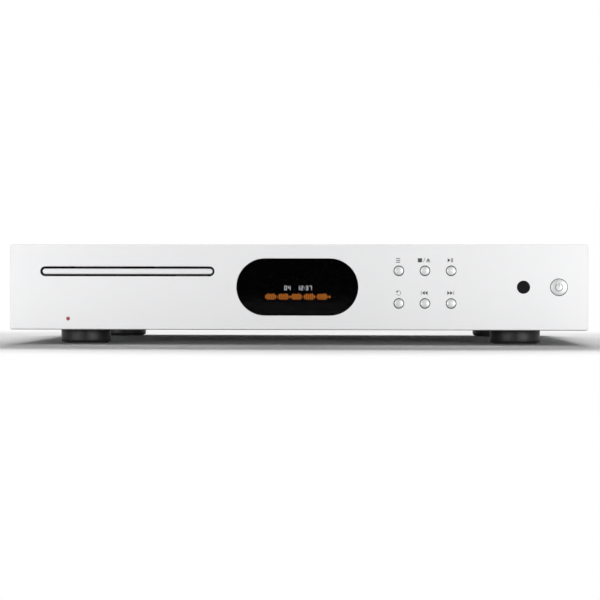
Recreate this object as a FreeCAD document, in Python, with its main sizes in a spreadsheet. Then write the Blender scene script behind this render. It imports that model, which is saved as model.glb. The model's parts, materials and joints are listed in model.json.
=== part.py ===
import FreeCAD, Part
import math
import os

import Sketcher

# A full-width disc player: a thick aluminium fascia on a folded steel case, a tray loader with
# its lifting pick-up mechanism, the supply and signal boards, and the sockets at the back.
# Frame: X to the right, Y to the back, Z up, in millimetres. The origin is on the floor under
# the middle of the player.

SIZES = [
    # case
    ("fascia_width", 444.0, "across the front"),
    ("fascia_bottom", 11.5, "underside of the fascia above the floor"),
    ("fascia_height", 65.8, ""),
    ("fascia_front", -153.0, "front face"),
    ("fascia_thick", 8.0, ""),
    ("corner_round", 2.0, "fascia corners seen from the front"),
    ("edge_bevel", 0.6, "softened front edge"),
    ("sheet_thick", 1.2, "folded steel"),
    ("cover_width", 440.0, ""),
    ("cover_top", 76.3, ""),
    ("cover_bend", 2.0, "outer bend radius"),
    ("base_bottom", 12.3, ""),
    ("back_plane", 145.0, "outer face of the rear panel"),
    ("flange_length", 11.0, "folded edges of the panels"),
    ("fit_gap", 0.1, "between a shell and what slides into it"),
    ("side_flange", 12.0, "upturned sides of the base"),
    ("vent_length", 34.0, ""),
    ("vent_width", 6.0, ""),
    ("vent_pitch", 16.0, ""),
    ("vent_row_pitch", 44.0, ""),
    ("vent_count", 6.0, "slots in a row"),
    ("vent_first_x", 108.0, ""),
    ("vent_first_y", -35.0, ""),
    # tray opening and lip
    ("slot_x", -131.0, "middle of the tray opening"),
    ("slot_z", 56.47, ""),
    ("slot_length", 134.8, ""),
    ("slot_height", 7.7, ""),
    ("lip_length", 131.9, ""),
    ("lip_height", 4.7, ""),
    ("lip_thick", 4.0, ""),
    ("lip_recess", 0.6, "lip behind the fascia's face"),
    ("passage_length", 139.0, "tray opening in the inner panel"),
    ("passage_height", 10.5, ""),
    # display
    ("window_width", 93.7, ""),
    ("window_height", 44.0, ""),
    ("window_z", 44.54, ""),
    ("window_recess", 0.5, ""),
    ("window_rebate", 2.0, "step behind the fascia's opening, wide and deep"),
    ("panel_width", 84.0, "display module"),
    ("panel_height", 37.0, ""),
    ("panel_thick", 3.4, ""),
    ("panel_play", 1.0, "gap round the module in the inner panel"),
    # buttons
    ("button_x", 77.8, "first column"),
    ("button_pitch_x", 19.94, ""),
    ("button_low_z", 32.05, "lower row"),
    ("button_pitch_z", 25.0, ""),
    ("button_diameter", 7.4, ""),
    ("button_hole", 8.1, ""),
    ("button_proud", 0.5, ""),
    ("button_crown", 0.4, "rise of the domed face"),
    ("button_edge", 0.3, "bevel round the face"),
    ("button_flange", 8.0, "square"),
    ("button_flange_thick", 1.0, ""),
    ("button_pocket", 8.6, "square pocket behind the hole, for the flange"),
    ("button_pocket_depth", 2.5, ""),
    ("button_stem", 4.0, "square"),
    ("button_travel", 0.8, ""),
    ("stem_hole", 5.0, "square"),
    ("power_x", 199.65, ""),
    ("power_z", 44.56, ""),
    ("power_diameter", 13.4, ""),
    ("power_hole", 14.1, ""),
    ("power_proud", 1.2, ""),
    ("power_flange", 14.0, ""),
    ("power_pocket", 14.6, ""),
    # receiver and lamp
    ("eye_x", 172.74, "infrared window"),
    ("eye_z", 44.6, ""),
    ("eye_diameter", 10.1, ""),
    ("eye_flange", 13.0, ""),
    ("eye_body", 7.0, "receiver can, square"),
    ("lamp_x", -176.8, ""),
    ("lamp_z", 20.04, ""),
    ("lamp_diameter", 3.0, ""),
    ("lamp_length", 11.0, ""),
    ("lamp_flange", 5.0, ""),
    # front board
    ("board_thick", 1.6, ""),
    ("front_board_y", -138.0, "front face of the front board"),
    ("front_board_left", -52.0, ""),
    ("front_board_right", 214.0, ""),
    ("front_board_low", 17.0, ""),
    ("front_board_high", 73.0, ""),
    ("switch_size", 6.0, ""),
    ("switch_height", 3.5, ""),
    ("switch_plunger", 3.4, "square"),
    ("switch_reach", 1.1, ""),
    # feet
    ("foot_x", 170.3, ""),
    ("foot_front_y", -107.3, ""),
    ("foot_back_y", 106.7, ""),
    ("foot_diameter", 39.2, ""),
    ("foot_waist", 36.4, "underneath"),
    ("pad_thick", 2.2, ""),
    ("foot_bore", 4.4, ""),
    ("foot_counterbore", 10.0, ""),
    ("foot_counterbore_top", 7.0, ""),
    ("pad_outer", 33.0, ""),
    ("pad_inner", 14.0, ""),
    ("screw_shank", 4.0, ""),
    ("screw_head", 8.0, ""),
    ("screw_head_thick", 2.6, ""),
    ("foot_screw_top", 17.5, ""),
    # case screws
    ("small_head", 6.0, ""),
    ("small_head_thick", 1.5, ""),
    ("small_shank", 3.0, ""),
    ("small_length", 5.0, ""),
    ("cover_screw_y", 70.0, ""),
    ("cover_screw_z", 21.0, ""),
    # transformer
    ("coil_x", 150.0, ""),
    ("coil_y", -28.0, ""),
    ("coil_outer", 92.0, ""),
    ("coil_inner", 30.0, ""),
    ("coil_height", 36.0, ""),
    ("coil_bevel", 8.0, ""),
    ("coil_lift", 1.5, "rubber washer under the coil"),
    ("dish_diameter", 64.0, ""),
    ("dish_thick", 1.5, ""),
    ("dish_depth", 3.0, ""),
    ("bolt_diameter", 6.0, ""),
    ("bolt_head", 10.0, ""),
    ("bolt_head_thick", 4.0, ""),
    # boards at the back
    ("board_z", 20.0, "underside of the boards"),
    ("post_corners", 6.6, "hexagonal posts under the boards"),
    ("post_inset", 5.0, ""),
    ("supply_left", 94.0, ""),
    ("supply_right", 208.0, ""),
    ("supply_front", 52.0, ""),
    ("supply_back", 118.0, ""),
    ("can_diameter", 16.0, ""),
    ("can_height", 27.0, ""),
    ("can_pitch", 20.0, ""),
    ("can_inset", 14.0, "first can from the board's edges"),
    ("main_left", -84.0, ""),
    ("main_right", 72.0, ""),
    ("main_front", 62.0, ""),
    ("main_back", 130.0, ""),
    ("chip_large", 16.0, ""),
    ("chip_small", 9.0, ""),
    ("chip_thick", 1.6, ""),
    # mains inlet and switch
    ("inlet_x", 172.0, ""),
    ("inlet_z", 45.0, ""),
    ("inlet_width", 27.2, ""),
    ("inlet_height", 19.8, ""),
    ("inlet_depth", 22.0, ""),
    ("inlet_flange", 48.0, ""),
    ("inlet_flange_height", 24.0, ""),
    ("inlet_flange_thick", 2.4, ""),
    ("inlet_bay_width", 23.4, ""),
    ("inlet_bay_height", 16.4, ""),
    ("inlet_bay_depth", 18.0, ""),
    ("inlet_corner", 4.2, "cut upper corners"),
    ("inlet_screw_pitch", 40.0, ""),
    ("pin_width", 2.0, ""),
    ("pin_height", 4.0, ""),
    ("pin_pitch", 7.0, "live and neutral from the middle"),
    ("pin_offset", 2.0, "earth above, live and neutral below"),
    ("pin_length", 21.0, ""),
    ("pin_reach", 13.0, "inside the bay"),
    ("rocker_x", 122.0, ""),
    ("rocker_z", 45.0, ""),
    ("rocker_width", 11.0, ""),
    ("rocker_height", 17.0, ""),
    ("rocker_wall", 2.2, ""),
    ("rocker_gap", 0.6, ""),
    ("rocker_bezel", 2.0, ""),
    ("rocker_depth", 16.0, ""),
    ("rocker_well", 9.0, ""),
    ("rocker_angle", 8.0, "tilt each side of level"),
    ("rocker_pin", 2.0, ""),
    ("rocker_crown", 2.6, "height of the tips"),
    ("rocker_slope", 1.0, "height halfway to a tip"),
    ("rocker_saddle", 0.5, "height of the middle"),
    # signal sockets
    ("jack_z", 32.0, "height of the signal sockets"),
    ("coax_x", 24.0, ""),
    ("coax_reach", 9.2, ""),
    ("coax_diameter", 8.3, ""),
    ("coax_bore", 3.4, ""),
    ("coax_collar", 12.0, ""),
    ("coax_collar_thick", 1.6, ""),
    ("coax_body", 14.0, ""),
    ("optical_x", 52.0, ""),
    ("optical_width", 13.4, ""),
    ("optical_height", 12.0, ""),
    ("optical_depth", 14.0, ""),
    ("optical_bay", 8.8, ""),
    ("optical_bay_depth", 11.0, ""),
    ("optical_proud", 1.5, ""),
    ("shutter_thick", 1.0, ""),
    ("shutter_gap", 0.35, ""),
    ("shutter_pin", 1.0, ""),
    ("usb_x", -8.0, ""),
    ("usb_width", 14.4, ""),
    ("usb_height", 7.0, ""),
    ("usb_wall", 0.6, ""),
    ("usb_depth", 16.0, ""),
    ("usb_proud", 0.8, ""),
    ("usb_tongue_width", 11.2, ""),
    ("usb_tongue_thick", 1.9, ""),
    ("trigger_x", -38.0, ""),
    ("trigger_pitch", 18.0, ""),
    ("trigger_body", 10.0, ""),
    ("trigger_depth", 13.0, ""),
    ("trigger_bore", 3.6, ""),
    ("trigger_nose", 6.4, ""),
    ("trigger_proud", 1.8, ""),
    # loader
    ("loader_width", 144.0, ""),
    ("loader_wall", 3.5, ""),
    ("loader_front", -143.5, ""),
    ("loader_back", 48.0, ""),
    ("loader_bottom", 26.0, ""),
    ("loader_floor", 2.5, ""),
    ("loader_top", 62.0, ""),
    ("passage_bottom", 50.0, "front wall ends below the tray"),
    ("ledge_reach", 6.0, "rails under the tray's edges"),
    ("ledge_top", 54.0, ""),
    ("ledge_thick", 2.4, ""),
    ("guide_reach", 5.5, "tabs over the tray's edges"),
    ("guide_bottom", 59.0, ""),
    ("guide_thick", 1.6, ""),
    ("guide_length", 14.0, ""),
    ("boss_corners", 11.0, "hexagonal feet of the tub"),
    ("boss_inset", 12.0, ""),
    ("deck_width", 35.0, "gear deck beside the traverse"),
    ("deck_back", -48.0, ""),
    ("deck_bottom", 40.0, ""),
    ("deck_thick", 2.5, ""),
    ("ear_thick", 3.0, "bearing ears of the traverse"),
    ("ear_offset", 34.0, ""),
    ("ear_length", 11.0, ""),
    ("ear_top", 51.0, ""),
    # tray
    ("tray_width", 130.0, ""),
    ("tray_bottom", 55.7, ""),
    ("tray_top", 58.5, ""),
    ("tray_back", 28.0, ""),
    ("tray_rail_width", 3.2, ""),
    ("tray_rail_bottom", 54.3, ""),
    ("tray_front_rib", 3.4, ""),
    ("tray_round", 6.0, "rear corners"),
    ("tray_travel", 138.0, ""),
    ("recess_diameter", 121.5, "for a 120 mm disc"),
    ("recess_floor", 56.7, ""),
    ("small_recess", 81.5, "for an 80 mm disc"),
    ("small_recess_drop", 0.4, ""),
    ("finger_width", 26.0, "finger notches at the recess's edge"),
    ("spindle_y", -84.0, "disc centre with the tray closed"),
    ("tray_window", 37.0, "opening for the turntable"),
    ("tray_window_back", 66.0, "reach of the lens opening behind the disc centre"),
    ("tray_window_width", 30.0, ""),
    ("rack_bottom", 53.1, ""),
    ("rack_pitch_x", 58.85, "pitch line from the tray's middle"),
    ("rack_body", 1.5, "rack behind the tooth roots"),
    ("rack_front", -124.0, ""),
    # gears
    ("gear_module", 1.0, ""),
    ("gear_teeth", 24.0, ""),
    ("pinion_teeth", 12.0, ""),
    ("tooth_addendum", 0.85, ""),
    ("tooth_dedendum", 1.2, ""),
    ("tooth_play", 0.16, "thinning of each tooth"),
    ("mesh_play", 0.2, "extra distance between axes"),
    ("gear_y", -118.0, "drive gear's axle"),
    ("gear_bottom", 50.0, ""),
    ("gear_top", 55.2, ""),
    ("gear_hub", 8.0, ""),
    ("hub_bottom", 42.9, ""),
    ("axle_diameter", 4.0, ""),
    ("bore_play", 0.05, "running clearance on the radius"),
    ("overrun", 1.0, "how far a cutting cylinder runs past the piece"),
    ("pinion_top", 54.4, ""),
    ("wheel_radius", 12.0, "belt wheel"),
    ("wheel_groove", 10.5, ""),
    ("wheel_bottom", 43.5, ""),
    ("wheel_thick", 4.0, ""),
    ("motor_y", -62.0, ""),
    ("motor_diameter", 22.0, ""),
    ("motor_height", 11.0, ""),
    ("pulley_radius", 4.4, ""),
    ("pulley_groove", 3.0, ""),
    ("motor_shaft", 2.0, ""),
    ("shaft_hole", 6.4, ""),
    ("belt_section", 1.4, ""),
    ("belt_gap", 0.3, "between belt and groove"),
    # clamp
    ("bridge_thick", 1.5, ""),
    ("bridge_length", 50.0, ""),
    ("bridge_hole", 27.0, ""),
    ("bridge_lip", 5.0, "folded stiffening edges"),
    ("bridge_inset", 4.5, "lips inside the ends of the bridge"),
    ("bridge_side_hole", 40.5, "lightening holes from the middle"),
    ("puck_bottom", 59.6, ""),
    ("puck_diameter", 25.0, ""),
    ("puck_flange", 32.0, ""),
    ("puck_flange_thick", 1.6, ""),
    ("puck_lift", 0.4, "flange above the bridge"),
    ("puck_hollow", 17.0, ""),
    ("puck_hollow_depth", 4.4, ""),
    # traverse, drawn level and then lowered about its pivot
    ("pivot_y", 11.0, ""),
    ("pivot_z", 46.0, ""),
    ("pivot_pin", 4.0, ""),
    ("lower_angle", 4.6, "drop of the traverse when the tray may move"),
    ("traverse_width", 64.0, ""),
    ("traverse_front", -106.0, ""),
    ("traverse_back", 15.0, ""),
    ("traverse_bottom", 40.0, ""),
    ("traverse_top", 50.0, ""),
    ("traverse_wall", 2.0, ""),
    ("well_width", 34.0, "opening over the sled"),
    ("well_back", -16.0, ""),
    ("well_gap", 1.0, "between the motor's hole and the opening"),
    ("spindle_case", 25.0, ""),
    ("spindle_flange", 31.0, ""),
    ("spindle_flange_thick", 0.8, ""),
    ("spindle_bottom", 41.0, ""),
    ("spindle_shaft", 2.0, ""),
    ("can_wall", 1.0, "closed end of a motor can"),
    ("end_play", 1.0, "between a shaft's end and the bottom of its bore"),
    ("table_diameter", 30.0, ""),
    ("table_top", 57.9, ""),
    ("table_thick", 2.0, ""),
    ("table_boss", 12.0, ""),
    ("table_bottom", 51.3, ""),
    ("cone_base", 14.8, "centres the disc"),
    ("cone_tip", 11.0, ""),
    ("cone_height", 3.0, ""),
    ("rod_offset", 19.0, ""),
    ("rod_diameter", 3.0, ""),
    ("rod_z", 44.0, ""),
    ("rod_front", -82.0, ""),
    ("rod_back", -9.0, ""),
    ("post_thick", 3.0, "blocks that hold the rods"),
    ("screw_post", 5.0, ""),
    ("sled_width", 44.0, ""),
    ("sled_length", 20.0, ""),
    ("sled_bottom", 41.4, ""),
    ("sled_top", 46.6, ""),
    ("lens_offset", 24.0, "lens behind the disc centre, innermost"),
    ("lens_turret", 15.0, ""),
    ("turret_top", 52.4, ""),
    ("lens_diameter", 7.0, ""),
    ("lens_top", 54.4, ""),
    ("sled_travel", 34.0, ""),
    ("screw_offset", 25.4, "feed screw beside the sled"),
    ("feed_case", 8.0, ""),
    ("feed_length", 12.0, ""),
    ("feed_back", -86.0, "rear face of the feed motor"),
    # cam slider
    ("cam_front", -114.0, ""),
    ("cam_thick", 2.5, ""),
    ("cam_width", 62.0, ""),
    ("cam_bottom", 28.8, ""),
    ("cam_top", 47.0, ""),
    ("cam_pin", 3.0, "pins on the traverse's front"),
    ("cam_pin_offset", 17.0, ""),
    ("cam_pin_z", 42.6, "pin height with the traverse level"),
    ("cam_slot", 4.0, "slot width"),
    ("cam_travel", 9.9, ""),
]


class Size:
    """A number together with the sheet expression that it comes from."""

    def __init__(self, value, text=None):
        self.value = float(value)
        self.text = text if text is not None else repr(float(value))

    def join(self, other, sign, value):
        return Size(value, f"({self.text} {sign} {other.text})")

    def __add__(self, other):
        other = as_size(other)
        return self.join(other, "+", self.value + other.value)

    def __sub__(self, other):
        other = as_size(other)
        return self.join(other, "-", self.value - other.value)

    def __mul__(self, other):
        other = as_size(other)
        return self.join(other, "*", self.value * other.value)

    def __truediv__(self, other):
        other = as_size(other)
        return self.join(other, "/", self.value / other.value)

    def __neg__(self):
        return as_size(0) - self

    def __radd__(self, other):
        return as_size(other) + self

    def __rsub__(self, other):
        return as_size(other) - self

    def __rmul__(self, other):
        return as_size(other) * self


def as_size(number):
    return number if isinstance(number, Size) else Size(number)


class Sheet:
    """The spreadsheet, with each alias as an attribute that gives its Size."""

    def __init__(self, document, rows):
        self.page = document.addObject("Spreadsheet::Sheet", "dims")
        self.page.Label = "dims"
        for row, (alias, number, note) in enumerate(rows, start=1):
            self.page.set(f"A{row}", alias)
            self.page.set(f"B{row}", str(number))
            self.page.set(f"C{row}", note)
            self.page.setAlias(f"B{row}", alias)
            setattr(self, alias, Size(number, f"dims.{alias}"))


doc = FreeCAD.newDocument("disc_player")
d = Sheet(doc, SIZES)
doc.recompute()


# ---------------------------------------------------------------- drawing helpers

UP = 1
DOWN = -1
BACK = 1
FRONT = -1
RIGHT = 1
FLIPPED = {"XY_Plane": False, "XZ_Plane": True, "YZ_Plane": False}


def new_body(name):
    body = doc.addObject("PartDesign::Body", name)
    body.Label = name
    return body


def bind(thing, path, size):
    thing.setExpression(path, as_size(size).text)


def place(body, x=0, y=0, z=0):
    for axis, size in zip("xyz", (x, y, z)):
        bind(body, f"Placement.Base.{axis}", size)
    return body


class Outline:
    """A sketch on an origin plane of its body, with every point bound to the sheet."""

    def __init__(self, body, plane, at=0):
        self.plane = plane
        self.sketch = body.newObject("Sketcher::SketchObject", f"{body.Label}_outline")
        origin = [face for face in body.Origin.OriginFeatures if face.Role == plane][0]
        self.sketch.AttachmentSupport = [(origin, "")]
        self.sketch.MapMode = "FlatFace"
        offset = -as_size(at) if FLIPPED[plane] else as_size(at)
        bind(self.sketch, "AttachmentOffset.Base.z", offset)

    def tie(self, kind, refs, size):
        size = as_size(size)
        index = self.sketch.addConstraint(Sketcher.Constraint(kind, *refs, size.value))
        bind(self.sketch, f"Constraints[{index}]", size)

    def pin(self, geometry, end, x, y):
        self.tie("DistanceX", (-1, 1, geometry, end), x)
        self.tie("DistanceY", (-1, 1, geometry, end), y)

    def polygon(self, points):
        points = [(as_size(x), as_size(y)) for x, y in points]
        spots = [FreeCAD.Vector(x.value, y.value, 0) for x, y in points]
        first = self.sketch.GeometryCount
        count = len(points)
        for k in range(count):
            self.sketch.addGeometry(Part.LineSegment(spots[k], spots[(k + 1) % count]))
        for k, (x, y) in enumerate(points):
            before = first + (k - 1) % count
            self.sketch.addConstraint(Sketcher.Constraint("Coincident", before, 2, first + k, 1))
            self.pin(first + k, 1, x, y)
        return self

    def rectangle(self, x, y, width, height):
        """A rectangle about its middle."""
        x, y, half, rise = as_size(x), as_size(y), as_size(width) / 2, as_size(height) / 2
        return self.polygon([(x - half, y - rise), (x + half, y - rise),
                             (x + half, y + rise), (x - half, y + rise)])

    def span(self, left, right, low, high):
        """A rectangle between its sides."""
        return self.polygon([(left, low), (right, low), (right, high), (left, high)])

    def hexagon(self, x, y, corners):
        """A hexagon about its middle, measured across its corners."""
        x, y, radius = as_size(x), as_size(y), as_size(corners) / 2
        turns = [math.pi / 3 * k for k in range(6)]
        return self.polygon([(x + radius * math.cos(turn), y + radius * math.sin(turn))
                             for turn in turns])

    def circle(self, x, y, diameter):
        x, y, radius = as_size(x), as_size(y), as_size(diameter) / 2
        centre = FreeCAD.Vector(x.value, y.value, 0)
        index = self.sketch.addGeometry(Part.Circle(centre, FreeCAD.Vector(0, 0, 1), radius.value))
        self.pin(index, 3, x, y)
        self.tie("Radius", (index,), radius)
        return self

    def slot(self, start, end, width):
        """A round-ended slot between the centres of its two ends."""
        start = [as_size(value) for value in start]
        end = [as_size(value) for value in end]
        radius = as_size(width) / 2
        a = FreeCAD.Vector(start[0].value, start[1].value, 0)
        b = FreeCAD.Vector(end[0].value, end[1].value, 0)
        lean = math.atan2(b.y - a.y, b.x - a.x)
        side = FreeCAD.Vector(-math.sin(lean), math.cos(lean), 0) * radius.value
        quarter = math.pi / 2
        normal = FreeCAD.Vector(0, 0, 1)
        first = self.sketch.GeometryCount
        near = Part.Circle(a, normal, radius.value)
        far = Part.Circle(b, normal, radius.value)
        self.sketch.addGeometry(Part.ArcOfCircle(near, lean + quarter, lean + 3 * quarter))
        self.sketch.addGeometry(Part.LineSegment(a - side, b - side))
        self.sketch.addGeometry(Part.ArcOfCircle(far, lean - quarter, lean + quarter))
        self.sketch.addGeometry(Part.LineSegment(b + side, a + side))
        for one, end_one, two, end_two in ((0, 2, 1, 1), (1, 2, 2, 1), (2, 2, 3, 1), (3, 2, 0, 1)):
            self.sketch.addConstraint(
                Sketcher.Constraint("Tangent", first + one, end_one, first + two, end_two))
        self.pin(first, 3, *start)
        self.pin(first + 2, 3, *end)
        self.tie("Radius", (first,), radius)
        return self

    def stadium(self, x, y, width, height):
        """A slot along the sketch's first axis, about its middle."""
        reach = (as_size(width) - height) / 2
        return self.slot((as_size(x) - reach, y), (as_size(x) + reach, y), height)


def sweep_up(kind, outline, depth, towards):
    body = outline.sketch.getParentGeoFeatureGroup()
    feature = body.newObject(kind, f"{body.Label}_step")
    feature.Profile = outline.sketch
    bind(feature, "Length", depth)
    away = towards < 0
    if kind == "PartDesign::Pocket":
        away = not away
    feature.Reversed = away != FLIPPED[outline.plane]
    outline.sketch.Visibility = False
    return feature


def pad(outline, depth, towards):
    feature = sweep_up("PartDesign::Pad", outline, depth, towards)
    doc.recompute()
    return feature


def pocket(outline, depth, towards):
    """Cuts, and fails if nothing was cut."""
    body = outline.sketch.getParentGeoFeatureGroup()
    before = body.Shape.Volume
    feature = sweep_up("PartDesign::Pocket", outline, depth, towards)
    doc.recompute()
    if feature.Shape.Volume > before - 1e-6:
        raise RuntimeError(f"{feature.Name} cuts nothing")
    return feature


def revolve(outline):
    """Turns an outline about its sketch's upright axis."""
    body = outline.sketch.getParentGeoFeatureGroup()
    feature = body.newObject("PartDesign::Revolution", f"{body.Label}_turned")
    feature.Profile = outline.sketch
    feature.ReferenceAxis = (outline.sketch, ["V_Axis"])
    feature.Angle = 360
    outline.sketch.Visibility = False
    doc.recompute()
    return feature


def dress(kind, body, property_name, size, wanted):
    """A fillet or chamfer on the edges that the test accepts."""
    base = body.Tip
    names = [f"Edge{n}" for n, edge in enumerate(base.Shape.Edges, start=1) if wanted(edge)]
    if not names:
        raise RuntimeError(f"no edges to dress on {body.Label}")
    feature = body.newObject(kind, f"{body.Label}_dressed")
    feature.Base = (base, names)
    bind(feature, property_name, size)
    doc.recompute()
    return feature


def fillet(body, radius, wanted):
    return dress("PartDesign::Fillet", body, "Radius", radius, wanted)


def chamfer(body, size, wanted):
    return dress("PartDesign::Chamfer", body, "Size", size, wanted)


def runs_along(edge, axis):
    box = edge.BoundBox
    lengths = {"x": box.XLength, "y": box.YLength, "z": box.ZLength}
    return all(lengths[other] < 1e-4 for other in "xyz" if other != axis) and lengths[axis] > 1e-4


def lies_at(edge, axis, size):
    box = edge.BoundBox
    low, high = {"x": (box.XMin, box.XMax), "y": (box.YMin, box.YMax), "z": (box.ZMin, box.ZMax)}[axis]
    return abs(low - size.value) < 1e-4 and abs(high - size.value) < 1e-4


def pattern(body, feature, outline, axis, count, length):
    """Repeats a feature along an axis of its sketch."""
    row = body.newObject("PartDesign::LinearPattern", f"{body.Label}_row")
    row.Originals = [feature]
    row.Direction = (outline.sketch, [axis])
    bind(row, "Length", length)
    bind(row, "Occurrences", count)
    body.Tip = row
    doc.recompute()
    return row


# ---------------------------------------------------------------- shared places

case_front = d.fascia_front + d.fascia_thick
panel_back = case_front + d.sheet_thick
floor_top = d.base_bottom + d.sheet_thick
cover_under = d.cover_top - d.sheet_thick
inner_back = d.back_plane - d.sheet_thick
pan_half = d.cover_width / 2 - d.sheet_thick - d.fit_gap
fascia_middle = d.fascia_bottom + d.fascia_height / 2
button_columns = [d.button_x + d.button_pitch_x * k for k in range(3)]
button_rows = [d.button_low_z, d.button_low_z + d.button_pitch_z]
foot_spots = [(side * d.foot_x, y) for y in (d.foot_front_y, d.foot_back_y) for side in (-1, 1)]
lip_front = d.fascia_front + d.lip_recess
tray_front = lip_front + d.lip_thick
gear_x = d.slot_x + d.rack_pitch_x - d.gear_module * d.gear_teeth / 2 - d.mesh_play
wheel_y = d.gear_y + d.gear_module * (d.gear_teeth + d.pinion_teeth) / 2 + d.mesh_play
loader_left = d.slot_x - d.loader_width / 2
loader_right = d.slot_x + d.loader_width / 2
deck_top = d.deck_bottom + d.deck_thick
board_top = d.board_z + d.board_thick


# ---------------------------------------------------------------- case

def make_base():
    """The base pan, with upturned sides, foot holes, pressed posts and air slots."""
    body = new_body("base_chassis")
    plate = Outline(body, "XY_Plane", d.base_bottom)
    plate.span(-pan_half, pan_half, case_front, d.back_plane)
    pad(plate, d.sheet_thick, UP)
    sides = Outline(body, "XY_Plane", floor_top)
    for side in (-1, 1):
        sides.rectangle(side * (pan_half - d.sheet_thick / 2), 0, d.sheet_thick,
                        d.back_plane - case_front)
    pad(sides, d.side_flange, UP)
    posts = Outline(body, "XY_Plane", floor_top)
    for left, right, front, back in board_spans():
        for x in (left + d.post_inset, right - d.post_inset):
            for y in (front + d.post_inset, back - d.post_inset):
                posts.hexagon(x, y, d.post_corners)
    pad(posts, d.board_z - floor_top, UP)
    holes = Outline(body, "XY_Plane", floor_top)
    for x, y in foot_spots:
        holes.circle(x, y, d.foot_bore)
    pocket(holes, d.sheet_thick, DOWN)
    slots = Outline(body, "XY_Plane", floor_top)
    slots.rectangle(d.vent_first_x, d.vent_first_y, d.vent_width, d.vent_length)
    first = pocket(slots, d.sheet_thick, DOWN)
    pattern(body, first, slots, "H_Axis", d.vent_count, d.vent_pitch * (d.vent_count - 1))


def board_spans():
    return [(d.supply_left, d.supply_right, d.supply_front, d.supply_back),
            (d.main_left, d.main_right, d.main_front, d.main_back)]


def folded_panel(name, face_y, fold):
    """An upright panel whose top and bottom edges are folded into the case."""
    body = new_body(name)
    sheet = Outline(body, "YZ_Plane", -pan_half)
    inner = face_y + fold * d.sheet_thick
    end = inner + fold * d.flange_length
    low = floor_top
    high = cover_under
    sheet.polygon([(face_y, low), (end, low), (end, low + d.sheet_thick),
                   (inner, low + d.sheet_thick), (inner, high - d.sheet_thick),
                   (end, high - d.sheet_thick), (end, high), (face_y, high)])
    pad(sheet, 2 * pan_half, RIGHT)
    return body


def make_subpanel():
    """The steel panel behind the fascia, which carries it and lets the controls through."""
    body = folded_panel("front_subpanel", case_front, BACK)
    for side in (-1, 1):
        ends = Outline(body, "YZ_Plane", side * (pan_half - d.sheet_thick))
        ends.span(case_front, panel_back + d.flange_length, floor_top, floor_top + d.side_flange)
        pocket(ends, d.sheet_thick + d.fit_gap, side)
    holes = Outline(body, "XZ_Plane", case_front)
    holes.rectangle(d.slot_x, d.slot_z, d.passage_length, d.passage_height)
    holes.rectangle(0, d.window_z, d.panel_width + 2 * d.panel_play,
                    d.panel_height + 2 * d.panel_play)
    for x in button_columns:
        for z in button_rows:
            holes.rectangle(x, z, d.stem_hole, d.stem_hole)
    holes.rectangle(d.power_x, d.power_z, d.stem_hole, d.stem_hole)
    holes.circle(d.eye_x, d.eye_z, d.eye_diameter)
    holes.circle(d.lamp_x, d.lamp_z, d.lamp_diameter)
    pocket(holes, d.sheet_thick, BACK)


def make_rear_panel():
    """The rear panel with a cut-out for each socket."""
    body = folded_panel("rear_panel", d.back_plane, FRONT)
    for side in (-1, 1):
        ends = Outline(body, "YZ_Plane", side * (pan_half - d.sheet_thick))
        ends.span(inner_back - d.flange_length, d.back_plane, floor_top, floor_top + d.side_flange)
        pocket(ends, d.sheet_thick + d.fit_gap, side)
    holes = Outline(body, "XZ_Plane", d.back_plane)
    holes.rectangle(d.inlet_x, d.inlet_z, d.inlet_width, d.inlet_height)
    holes.rectangle(d.rocker_x, d.rocker_z, d.rocker_width + 2 * d.rocker_wall,
                    d.rocker_height + 2 * d.rocker_wall)
    holes.circle(d.coax_x, d.jack_z, d.coax_diameter)
    holes.rectangle(d.optical_x, d.jack_z, d.optical_width, d.optical_height)
    holes.rectangle(d.usb_x, d.jack_z, d.usb_width, d.usb_height)
    for x in trigger_places():
        holes.circle(x, d.jack_z, d.trigger_nose)
    pocket(holes, d.sheet_thick, FRONT)


def trigger_places():
    return [d.trigger_x, d.trigger_x - d.trigger_pitch]


def make_cover():
    """The top cover, one sheet bent down at both sides, with two rows of air slots."""
    body = new_body("top_cover")
    half = d.cover_width / 2
    sheet = Outline(body, "XZ_Plane", case_front)
    sheet.polygon([(-half, d.base_bottom), (-half + d.sheet_thick, d.base_bottom),
                   (-half + d.sheet_thick, cover_under), (half - d.sheet_thick, cover_under),
                   (half - d.sheet_thick, d.base_bottom), (half, d.base_bottom),
                   (half, d.cover_top), (-half, d.cover_top)])
    pad(sheet, d.back_plane - case_front, BACK)
    fillet(body, d.cover_bend, lambda edge: runs_along(edge, "y") and lies_at(edge, "z", d.cover_top))
    slots = Outline(body, "XY_Plane", d.cover_top)
    for row in range(2):
        slots.rectangle(d.vent_first_x, d.vent_first_y + d.vent_row_pitch * row, d.vent_width,
                        d.vent_length)
    first = pocket(slots, d.sheet_thick, DOWN)
    pattern(body, first, slots, "H_Axis", d.vent_count, d.vent_pitch * (d.vent_count - 1))


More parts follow.
